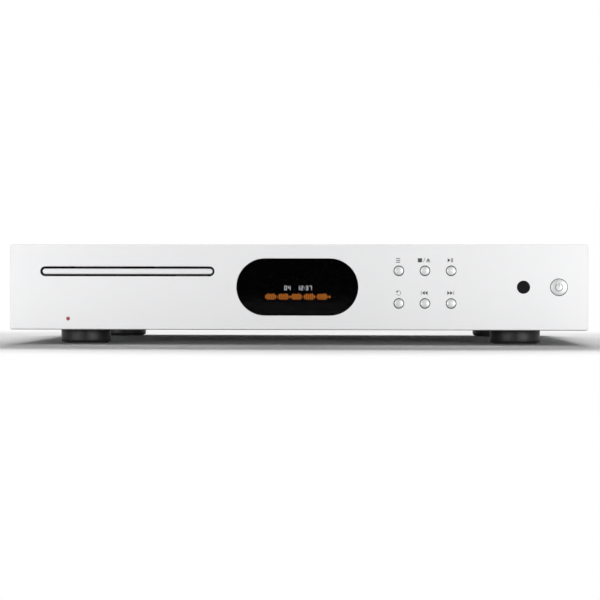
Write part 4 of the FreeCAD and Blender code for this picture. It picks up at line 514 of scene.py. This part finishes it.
def makeCap(name, radius, rise):
    cap = {"edge": 0.18 * mm, "rings": 7, "flange": 1.0 * mm, "length": 5.4 * mm, "stem": 4.0 * mm}
    low, high, middle, size = boxOf(name)
    flat = radius - cap["edge"]
    profile = [(flat * k / cap["rings"], low.y + rise * (k / cap["rings"]) ** 2)
               for k in range(cap["rings"] + 1)]
    profile += [(radius - cap["edge"] * 0.3, low.y + rise + cap["edge"] * 0.35),
                (radius, low.y + rise + cap["edge"])]
    seat = high.y - (high.y - fasciaHigh.y) - 2.4 * mm
    solid = Solid("y", (middle.x, 0, middle.z))
    solid.lathe(profile + [(radius, seat)], 64)
    solid.loft([(roundBox(size.x, size.z, 0.4 * mm), at) for at in (seat, seat + cap["flange"])])
    solid.loft([(roundBox(cap["stem"], cap["stem"], 0.3 * mm), seat + cap["flange"]),
                (roundBox(cap["stem"], cap["stem"], 0.3 * mm), high.y)])
    return makePiece(name + "_turned", solid, name, "turned_metal", [name])


def makeShadeSleeve(name, hole, wall):  # a near-black, glossless sleeve lining a button's hole: painted shade in the gap round the cap
    sleeve = {"setBack": 0.06 * mm, "depth": 2.0 * mm}
    low, high, middle, size = boxOf(name)
    first, last = faceY + sleeve["setBack"], faceY + sleeve["depth"]
    solid = Solid("y", (middle.x, 0, middle.z))
    solid.lathe([(hole, first), (hole, last), (hole - wall, last), (hole - wall, first)], 64, loop=True)
    makePiece(name + "_sleeve", solid, "chassis", "socket_black", finish=finishes["display_black_and_shade"])


def makeButtons():
    for name in buttonNames:
        makeCap(name + "_button", 3.42 * mm, 0.34 * mm)
        makeShadeSleeve(name + "_button", 4.03 * mm, 0.54 * mm)
    makeCap("power_button", 6.22 * mm, 0.6 * mm)
    makeShadeSleeve("power_button", 6.68 * mm, 0.36 * mm)
    low, high, middle, size = boxOf("power_button")
    rim = {"outer": 7.04 * mm, "inner": 6.69 * mm, "depth": 2 * mm}
    last = faceY + rim["depth"]
    collar = Solid("y", (middle.x, 0, middle.z))
    collar.lathe([(rim["outer"], faceY), (rim["outer"], last), (rim["inner"], last), (rim["inner"], faceY)],
                 64, loop=True)
    makePiece("power_button_collar", collar, "chassis", "satin_aluminium")


def bar(left, right, low, high):
    return [(left, low), (right, low), (right, high), (left, high)]


def arrow(start, tip, low, high):
    return [(start, low), (tip, (low + high) / 2), (start, high)]


def makeSigns():
    ink = {"proud": 0.03 * mm, "sunk": 0.02 * mm}
    row = (6.5, 9.6)  # lower and upper edge of the signs above each button's middle, in mm
    sweep = [math.radians(turn) for turn in range(-150, 135, 12)]
    loopBand = [(-0.2 + 1.85 * math.cos(turn), 8.0 + 1.85 * math.sin(turn)) for turn in sweep]
    loopBand += [(-0.2 + 1.53 * math.cos(turn), 8.0 + 1.53 * math.sin(turn)) for turn in reversed(sweep)]
    signs = {
        "menu": [bar(-2.15, 0.93, row[0] - 0.3 + 1.42 * k, row[0] + 0.3 + 1.42 * k) for k in range(3)],
        "stop_eject": [bar(-5.5, -2.26, *row),
                       [(-1.34, row[0]), (-0.98, row[0]), (0.06, row[1]), (-0.3, row[1])],
                       [(0.92, 7.6), (3.93, 7.6), (2.42, row[1])], bar(0.92, 3.93, row[0] + 0.1, 7.15)],
        "play_pause": [arrow(-2.68, -0.5, *row), bar(-0.1, 0.42, *row), bar(0.85, 1.37, *row)],
        "repeat": [loopBand, [(-2.55, 9.0), (-0.75, 10.0), (-0.9, 8.1)]],
        "previous": [bar(-3.0, -2.68, *row), arrow(-0.15, -2.25, *row), arrow(2.0, -0.1, *row)],
        "next": [arrow(-2.9, -0.8, *row), arrow(-0.75, 1.35, *row), bar(1.8, 2.12, *row)],
    }
    for name, outlines in signs.items():
        low, high, middle, size = boxOf(name + "_button")
        sign = Solid("y", (middle.x, 0, middle.z))
        for outline in outlines:
            sign.plate([[(u * mm, v * mm) for u, v in outline]], faceY - ink["proud"], faceY + ink["sunk"])
        makePiece(name + "_sign", sign, "chassis", "satin_aluminium", finish=finishes["sign_grey"])


def makePowerSign():
    sign = {"ring": 2.8, "band": 0.5, "gap": 28, "bar": (0.2, 3.3), "proud": 0.1 * mm, "sunk": 0.05 * mm,
            "stem": 0.16 * mm, "dome": 0.6 * mm, "domeRadius": 6.04}
    low, high, middle, size = boxOf("power_button")
    turns = [math.radians(turn) for turn in range(90 + sign["gap"], 450 - sign["gap"] + 1, 8)]
    outer = [((sign["ring"] + sign["band"] / 2) * math.cos(turn) * mm,
              (sign["ring"] + sign["band"] / 2) * math.sin(turn) * mm) for turn in turns]
    inner = [((sign["ring"] - sign["band"] / 2) * math.cos(turn) * mm,
              (sign["ring"] - sign["band"] / 2) * math.sin(turn) * mm) for turn in turns]
    half = sign["band"] / 2 * mm
    solid = Solid("y", (middle.x, 0, middle.z))
    under = low.y + sign["dome"] * (sign["ring"] / sign["domeRadius"]) ** 2  # the domed face below the ring
    solid.plate([outer + inner[::-1]], under - sign["proud"], under + sign["sunk"])
    solid.plate([bar(-half, half, sign["bar"][0] * mm, sign["bar"][1] * mm)], low.y, low.y + sign["stem"])
    makePiece("power_sign", solid, "power_button", "turned_metal", finish=finishes["power_sign"])


# ---- display

segmentsOf = {0: "abcdef", 1: "bc", 2: "abged", 3: "abgcd", 4: "fgbc", 5: "afgcd", 6: "afgedc",
              7: "abc", 8: "abcdefg", 9: "abcdfg"}


def digitBars(number, left, low, wide, tall, stroke):
    middle, top, right = low + tall / 2, low + tall, left + wide
    places = {"a": (left, right, top - stroke, top), "b": (right - stroke, right, middle, top),
              "c": (right - stroke, right, low, middle), "d": (left, right, low, low + stroke),
              "e": (left, left + stroke, low, middle), "f": (left, left + stroke, middle, top),
              "g": (left, right, middle - stroke / 2, middle + stroke / 2)}
    return [bar(*places[letter]) for letter in segmentsOf[number]]


def makeDisplay():
    show = {"border": (96.8, 47.2), "opening": (82.0, 35.0), "tall": 3.3, "wide": 1.9, "stroke": 0.38,
            "numeralsLeft": -10.4, "numeralsLow": -2.4, "numerals": [0, 4, None, 1, 2, ":", 3, 7],
            "space": 0.9, "blank": 4.2, "colon": 1.1, "dot": 0.4, "dots": (0.9, 2.1),
            "bars": 34, "pitch": 1.5, "barWide": 0.8, "baseline": -7.6, "drop": 0.9}
    low, high, middle, size = boxOf("display_window")
    mask = Solid("y", (middle.x, 0, middle.z))
    mask.plate([stadium(show["border"][0] * mm, show["border"][1] * mm),
                roundBox(show["opening"][0] * mm, show["opening"][1] * mm, 1.5 * mm)],
               high.y - 0.06 * mm, high.y - 0.01 * mm)
    makePiece("display_mask", mask, "chassis", "component_black", finish=finishes["display_black_and_shade"])
    low, high, middle, size = boxOf("display_panel")
    front, back = low.y - 0.06 * mm, low.y + 0.01 * mm
    numerals = Solid("y", (middle.x, 0, middle.z))
    left = show["numeralsLeft"]
    for number in show["numerals"]:
        if number == ":":
            step = show["colon"]
            outlines = [moved(bar(0, show["dot"], 0, show["dot"]), left, show["numeralsLow"] + up)
                        for up in show["dots"]]
        elif number is None:
            outlines, step = [], show["blank"]
        else:
            step = show["wide"] + show["space"]
            outlines = digitBars(number, left, show["numeralsLow"], show["wide"], show["tall"],
                                 show["stroke"])
        for outline in outlines:
            numerals.loft([([(u * mm, v * mm) for u, v in outline], at) for at in (front, back)])
        left += step
    makePiece("display_numerals", numerals, "chassis", "lamp_red", finish=finishes["numeral_glow"])
    levels = Solid("y", (middle.x, 0, middle.z))
    for k in range(show["bars"]):
        place = k - (show["bars"] - 1) / 2
        tall = 0.7 + 1.9 * abs(math.sin(k * 0.47 + 0.4)) + 0.5 * math.sin(k * 1.9)
        half = show["barWide"] / 2 * mm
        outline = moved(bar(-half, half, -tall * show["drop"] * mm, tall * mm),
                        place * show["pitch"] * mm, show["baseline"] * mm)
        levels.loft([(outline, at) for at in (front, back)])
    makePiece("display_levels", levels, "chassis", "lamp_red", finish=finishes["level_glow"])


# ---- feet and screws

def makeFeet():
    foot = {"rounding": 2.0, "sole": 0.8, "bore": 2.2, "head": 5.0, "headTop": 7.0, "pad": (12.0, 17.4)}
    pads = Solid("z")
    for node in ("foot_front_left", "foot_front_right", "foot_back_left", "foot_back_right"):
        low, high, middle, size = boxOf(node)
        outer = size.x / 2
        sole, curve = foot["sole"] * mm, foot["rounding"] * mm
        bore, head = foot["bore"] * mm, foot["head"] * mm
        solid = Solid("z", (middle.x, middle.y, 0))
        turns = [math.pi / 2 * k / 6 for k in range(7)]
        rounding = [(outer - curve * (1 - math.sin(turn)), sole + curve * (1 - math.cos(turn)))
                    for turn in turns]
        solid.lathe([(head, sole)] + rounding
                    + [(outer, high.z - 0.9 * mm), (outer - 0.25 * mm, high.z - 0.3 * mm),
                       (outer - 0.9 * mm, high.z), (bore, high.z), (bore, foot["headTop"] * mm),
                       (head, foot["headTop"] * mm)], 96, loop=True)
        makePiece(node + "_turned", solid, "chassis", "foot_black", [node])
        inner, reach = (radius * mm for radius in foot["pad"])
        pads.lathe([(inner, sole), (inner, 0.2 * mm), (inner + 0.3 * mm, 0), (reach - 0.3 * mm, 0),
                    (reach, 0.2 * mm), (reach, sole)], 64, loop=True, across=middle.x, up=middle.y)
    makePiece("foot_pad_rings", pads, "chassis", "pad_rubber", ["foot_pads"])


def crossOutline(reach, half):
    return [(half, half), (half, reach), (-half, reach), (-half, half), (-reach, half), (-reach, -half),
            (-half, -half), (-half, -reach), (half, -reach), (half, -half), (reach, -half), (reach, half)]


def addScrewHead(solid, radius, base, top, across, up, depth):
    # a domed head whose cross recess is sunk from its crown towards the base
    rise = top - base
    profile = [(0, base), (radius, base), (radius, base + rise * 0.45), (radius * 0.9, base + rise * 0.78),
               (radius * 0.72, top)]
    rings = [solid.ring(moved(circle(r, 48), across, up), at) for r, at in profile[1:]]
    for low, high in zip(rings, rings[1:]):
        solid.join(low, high)
    solid.mesh.faces.new(rings[0])
    cross = moved(crossOutline(radius * 0.55, radius * 0.13), across, up)
    crown = solid.ring(cross, top)
    floor = solid.ring(moved(crossOutline(radius * 0.32, radius * 0.1), across, up), top - depth)
    solid.join(crown, floor)
    solid.mesh.faces.new(floor)
    edges = [solid.mesh.edges.get((loop[k - 1], loop[k]))
             for loop in (rings[-1], crown) for k in range(len(loop))]
    bmesh.ops.triangle_fill(solid.mesh, edges=edges, use_beauty=True)


def makeScrews():
    cover = Solid("x")
    for low, high, middle, size in islands("cover_screws"):
        base, top = (high.x, low.x) if middle.x < 0 else (low.x, high.x)
        addScrewHead(cover, size.y / 2, base, top, middle.y, middle.z, (top - base) * 0.7)
    makePiece("cover_screw_heads", cover, "chassis", "black_zinc", ["cover_screws"])
    rear = Solid("y")
    for low, high, middle, size in islands("rear_screws"):
        addScrewHead(rear, size.x / 2, low.y, high.y, middle.x, middle.z, size.y * 0.7)
    makePiece("rear_screw_heads", rear, "chassis", "black_zinc", ["rear_screws"])
    back = Solid("y")
    low, high, middle, size = boxOf("rear_panel")
    fixing = {"side": 12 * mm, "low": 6 * mm, "radius": 2.9 * mm, "thick": 1.3 * mm}
    for x in (low.x + fixing["side"], middle.x * 0.5 - 70 * mm, high.x - fixing["side"]):
        for z in (low.z + fixing["low"], high.z - fixing["low"]):
            addScrewHead(back, fixing["radius"], high.y, high.y + fixing["thick"], x, z,
                         fixing["thick"] * 0.7)
    makePiece("back_panel_screws", back, "chassis", "black_zinc")
    foot = Solid("z")
    shank = {"head": 2.6 * mm, "recess": 1.6 * mm, "radius": 2.0 * mm, "point": 0.4 * mm, "tip": 1.7 * mm}
    for low, high, middle, size in islands("foot_screws"):
        neck = low.z + shank["head"]
        addScrewHead(foot, size.x / 2, neck, low.z, middle.x, middle.y, -shank["recess"])
        foot.lathe([(shank["radius"], neck), (shank["radius"], high.z - shank["point"]),
                    (shank["tip"], high.z)], 32, across=middle.x, up=middle.y)
    makePiece("foot_screw_heads", foot, "chassis", "nickel_plate", ["foot_screws"])


# ---- sockets and switch at the back

def makeCoax():
    jack = {"barrel": 4.15, "shell": 3.45, "pin": 1.75, "pinHole": 1.3, "collar": 5.9, "collarThick": 1.6,
            "block": 12.0, "bevel": 0.3, "coreBack": 1.0, "contactBack": 1.4}
    low, high, middle, size = boxOf("coax_jack")
    wall = boxOf("rear_panel")[1].y
    barrel, shell, pin, hole, collar, thick, block, bevel, coreBack, contactBack = (
        value * mm for value in jack.values())
    centre = (middle.x, 0, middle.z)
    solid = Solid("y", centre)
    solid.lathe([(shell, wall), (collar, wall), (collar, wall + thick - bevel),
                 (collar - bevel, wall + thick), (barrel, wall + thick), (barrel, high.y - 0.5 * mm),
                 (barrel - 0.12 * mm, high.y - 0.15 * mm), (barrel - 0.35 * mm, high.y), (shell, high.y)],
                64, loop=True)
    solid.loft([(roundBox(block, block, 0.6 * mm), at) for at in (low.y, wall - 1.3 * mm)])
    makePiece("coax_shell", solid, "chassis", "gold_plate", ["coax_jack"])
    core = Solid("y", centre)
    front = high.y - coreBack
    core.lathe([(pin, wall), (shell, wall), (shell, front), (shell - bevel, front + bevel),
                (pin + bevel, front + bevel), (pin, front)], 48, loop=True)
    makePiece("coax_insulator", core, "chassis", "socket_black", finish=finishes["insulator_orange"])
    contact = Solid("y", centre)
    front = high.y - contactBack
    contact.lathe([(hole, wall), (pin, wall), (pin, front), (hole, front)], 32, loop=True)
    makePiece("coax_contact", contact, "chassis", "gold_plate")


def makeUsb():
    socket = {"wide": 11.3, "thick": 2.0, "drop": 2.5, "long": 13.6, "setBack": 1.7,
              "strips": (-3.5, -1.2, 1.2, 3.5)}
    low, high, middle, size = boxOf("usb_socket")
    wide, thick, front = socket["wide"] * mm, socket["thick"] * mm, high.y - socket["setBack"] * mm
    level = high.z - socket["drop"] * mm
    tongue = Solid("y", (middle.x, 0, level))
    tongue.loft([(roundBox(wide, thick, 0.3 * mm), front - socket["long"] * mm),
                 (roundBox(wide, thick, 0.3 * mm), front - 0.4 * mm),
                 (roundBox(wide - 0.6 * mm, thick - 0.6 * mm, 0.1 * mm), front)])
    makePiece("usb_tongue", tongue, "chassis", "socket_black", finish=finishes["gear_white"])
    strips = Solid("y", (middle.x, 0, level - thick / 2))
    for x in socket["strips"]:
        strips.loft([(moved(roundBox(1.0 * mm, 0.1 * mm, 0.04 * mm), x * mm, 0), front - back * mm)
                     for back in (8.0, 0.5)])
    makePiece("usb_contacts", strips, "chassis", "gold_plate")


def makeTriggers():
    bush = {"hole": 1.8, "ring": 2.45, "step": 0.5}
    rings = Solid("y")
    for low, high, middle, size in islands("trigger_jacks"):
        hole, ring, step = (value * mm for value in bush.values())
        rings.lathe([(hole, high.y - step), (ring, high.y - step), (ring, high.y + step * 0.2),
                     (ring - 0.15 * mm, high.y + step * 0.4), (hole + 0.15 * mm, high.y + step * 0.4),
                     (hole, high.y + step * 0.2)], 32, loop=True, across=middle.x, up=middle.z)
    makePiece("trigger_bushes", rings, "chassis", "nickel_plate")


def makeSwitchMarks():
    mark = {"up": 4.6, "bar": (0.25, 1.4), "ring": (1.35, 0.95), "proud": 0.04 * mm}
    low, high, middle, size = boxOf("mains_rocker")
    surface = BVHTree.FromObject(frame["nodes"]["mains_rocker"], bpy.context.evaluated_depsgraph_get())
    half, tall = mark["bar"]
    outer, inner = (circle(radius * mm, 32) for radius in mark["ring"])
    marks = Solid("y")
    for up, outlines in ((mark["up"], [bar(-half * mm, half * mm, -tall * mm, tall * mm)]),
                         (-mark["up"], [outer, inner])):
        spot, normal, face, reach = surface.ray_cast(
            Vector((middle.x, high.y + 0.01, middle.z + up * mm)), Vector((0, -1, 0)))
        flat = Solid("y")
        flat.plate(outlines, -mark["proud"], mark["proud"])
        lean = Vector((0, 1, 0)).rotation_difference(normal)
        flat.turned(Matrix.Translation(spot) @ lean.to_matrix().to_4x4())
        sheet = bpy.data.meshes.new("mark")
        flat.mesh.to_mesh(sheet)
        flat.mesh.free()
        marks.mesh.from_mesh(sheet)
    makePiece("mains_rocker_marks", marks, "mains_rocker", "gear_white")


# ---- supply

def makeTransformer():
    coil = {"bore": 15.0, "curve": 9.0, "turns": 120, "ridge": 0.12}
    low, high, middle, size = boxOf("toroidal_transformer")
    outer, bore, curve = size.x / 2, coil["bore"] * mm, coil["curve"] * mm
    section = moved(roundBox(outer - bore, size.z, curve, 8), (outer + bore) / 2, middle.z)
    solid = Solid("z", (middle.x, middle.y, 0))
    rings = []
    for k in range(coil["turns"] * 2):
        turn = math.pi * k / coil["turns"]
        swell = coil["ridge"] * mm * (k % 2)
        rings.append([solid.mesh.verts.new(solid.centre + Vector((
            (u - swell) * math.cos(turn), (u - swell) * math.sin(turn), v))) for u, v in section])
    for low, high in zip(rings, rings[1:] + rings[:1]):
        solid.join(low, high)
    makePiece("transformer_winding", solid, "chassis", "coil_tape", ["toroidal_transformer"], sharp=60)


def makeCapacitors():
    can = {"edge": 1.2, "groove": 2.6, "lid": 0.82, "sunk": 0.5}
    sleeves, lids = Solid("z"), Solid("z")
    for low, high, middle, size in islands("supply_capacitors"):
        radius, edge = size.x / 2, can["edge"] * mm
        groove, lid = low.z + can["groove"] * mm, radius * can["lid"]
        sleeves.lathe([(0, low.z), (radius - 0.4 * mm, low.z), (radius, low.z + 0.4 * mm), (radius, groove),
                       (radius - 0.5 * mm, groove + 0.5 * mm), (radius, groove + 1.0 * mm),
                       (radius, high.z - edge), (radius - edge * 0.3, high.z - edge * 0.3),
                       (radius - edge, high.z), (lid, high.z),
                       (lid, high.z - can["sunk"] * mm), (0, high.z - can["sunk"] * mm)],
                      48, across=middle.x, up=middle.y)
        top = high.z - can["sunk"] * mm
        lids.lathe([(lid, top - 0.2 * mm), (lid, top + 0.1 * mm), (0, top + 0.16 * mm)],
                   48, across=middle.x, up=middle.y)
    makePiece("capacitor_sleeves", sleeves, "chassis", "can_sleeve", ["supply_capacitors"])
    makePiece("capacitor_lids", lids, "chassis", "nickel_plate")


makeTrayFront()
makeButtons()
makeSigns()
makePowerSign()
print("front made")
makeDisplay()
print("display made")
makeFeet()
makeScrews()
print("feet and screws made")
makeCoax()
makeUsb()
makeTriggers()
makeSwitchMarks()
print("sockets made")
makeTransformer()
makeCapacitors()
print("supply made")


# ---- camera, light and floor

view = {"x": 0.05207, "distance": 1.2827, "z": 0.04254, "lens": 100.45, "yaw": -0.0389, "pitch": 0.0062,
        "roll": 0.0013}


def makeCamera():
    camera = bpy.data.objects.new("camera", bpy.data.cameras.new("camera"))
    scene.collection.objects.link(camera)
    ahead = Vector((math.sin(view["yaw"]) * math.cos(view["pitch"]),
                    math.cos(view["yaw"]) * math.cos(view["pitch"]), -math.sin(view["pitch"])))
    right = Vector((math.cos(view["yaw"]), -math.sin(view["yaw"]), 0))
    up = right.cross(ahead)
    side = right * math.cos(view["roll"]) + up * math.sin(view["roll"])
    top = side.cross(ahead)
    turn = Matrix((side, top, -ahead)).transposed().to_4x4()
    camera.matrix_world = Matrix.Translation((view["x"], faceY - view["distance"], view["z"])) @ turn
    camera.data.lens = view["lens"]
    camera.data.sensor_width = 36
    camera.data.clip_end = 50
    scene.camera = camera


def areaLight(name, at, aim, size, power):
    lamp = bpy.data.lights.new(name, "AREA")
    lamp.shape = "RECTANGLE"
    lamp.size, lamp.size_y = size
    lamp.energy = power
    thing = bpy.data.objects.new(name, lamp)
    scene.collection.objects.link(thing)
    thing.location = at
    thing.rotation_euler = (Vector(at) - Vector(aim)).to_track_quat("Z", "Y").to_euler()


def makeFloor():
    studio = {"half": 6.0, "patch": (0.36, 0.27), "near": 0.85, "far": 1.45}
    builder = bmesh.new()
    bmesh.ops.create_grid(builder, x_segments=24, y_segments=24, size=studio["half"])
    mesh = bpy.data.meshes.new("floor")
    builder.to_mesh(mesh)
    builder.free()
    floor = bpy.data.objects.new("floor", mesh)
    scene.collection.objects.link(floor)
    finish = Finish("floorWhite", Base_Color=(0.9, 0.9, 0.9), Roughness=0.9)
    wide, deep = studio["patch"]
    reach = finish.add("ShaderNodeVectorMath", {"operation": "LENGTH"}, [
        finish.stretched(1 / wide, 1 / deep, 0)], out=1)
    x, y, z = finish.split(finish.place())
    gloss = finish.rays("Is Glossy Ray", "Is Transmission Ray") * finish.besideCard(x, y)
    shown = finish.ramp(reach, studio["near"], studio["far"]) * (finish.rays("Is Camera Ray") + gloss)
    glow = finish.add("ShaderNodeEmission", inputs={"Color": (1, 1, 1), "Strength": 1.0})
    blend = finish.add("ShaderNodeMixShader", inputs=[
        shown, Wire(finish, finish.shader.outputs[0]), glow])
    below = finish.add("ShaderNodeNewGeometry", out="Backfacing")  # seen from below the floor is clear
    clear = finish.add("ShaderNodeBsdfTransparent")
    oneSided = finish.add("ShaderNodeMixShader", inputs=[below, blend, clear])
    finish.feed(finish.tree.nodes["Material Output"].inputs["Surface"], oneSided)
    mesh.materials.append(finish.material)


def makeWorld():  # white all round for the eye and for gloss, with a dark card standing straight ahead
    studio = {"fill": 0.16}
    world = bpy.data.worlds.new("studio")
    scene.world = world
    world.use_nodes = True
    graph = Graph(world.node_tree)
    x, y, z = graph.split(graph.add("ShaderNodeTexCoord", out="Generated"))
    gloss = graph.mix(graph.besideCard(x, y), (card["level"],) * 3, (1, 1, 1))
    back = graph.mix(graph.rays("Is Glossy Ray", "Is Transmission Ray"), (studio["fill"],) * 3, gloss)
    colour = graph.mix(graph.rays("Is Camera Ray"), back, (1, 1, 1))
    graph.feed(graph.tree.nodes["Background"].inputs["Color"], colour)


makeCamera()
makeFloor()
makeWorld()
areaLight("keyBox", (0.0, 1.4, 1.2), (0, -0.1, 0.04), (1.0, 0.3), 26)
areaLight("leftBox", (-1.15, -1.65, 0.11), (0, -0.1, 0.05), (1.4, 0.22), 10.8)
areaLight("rightBox", (1.15, -1.65, 0.11), (0, -0.1, 0.05), (1.4, 0.22), 15.0)
scene.view_settings.view_transform = "Standard"
print("camera, light and floor set")
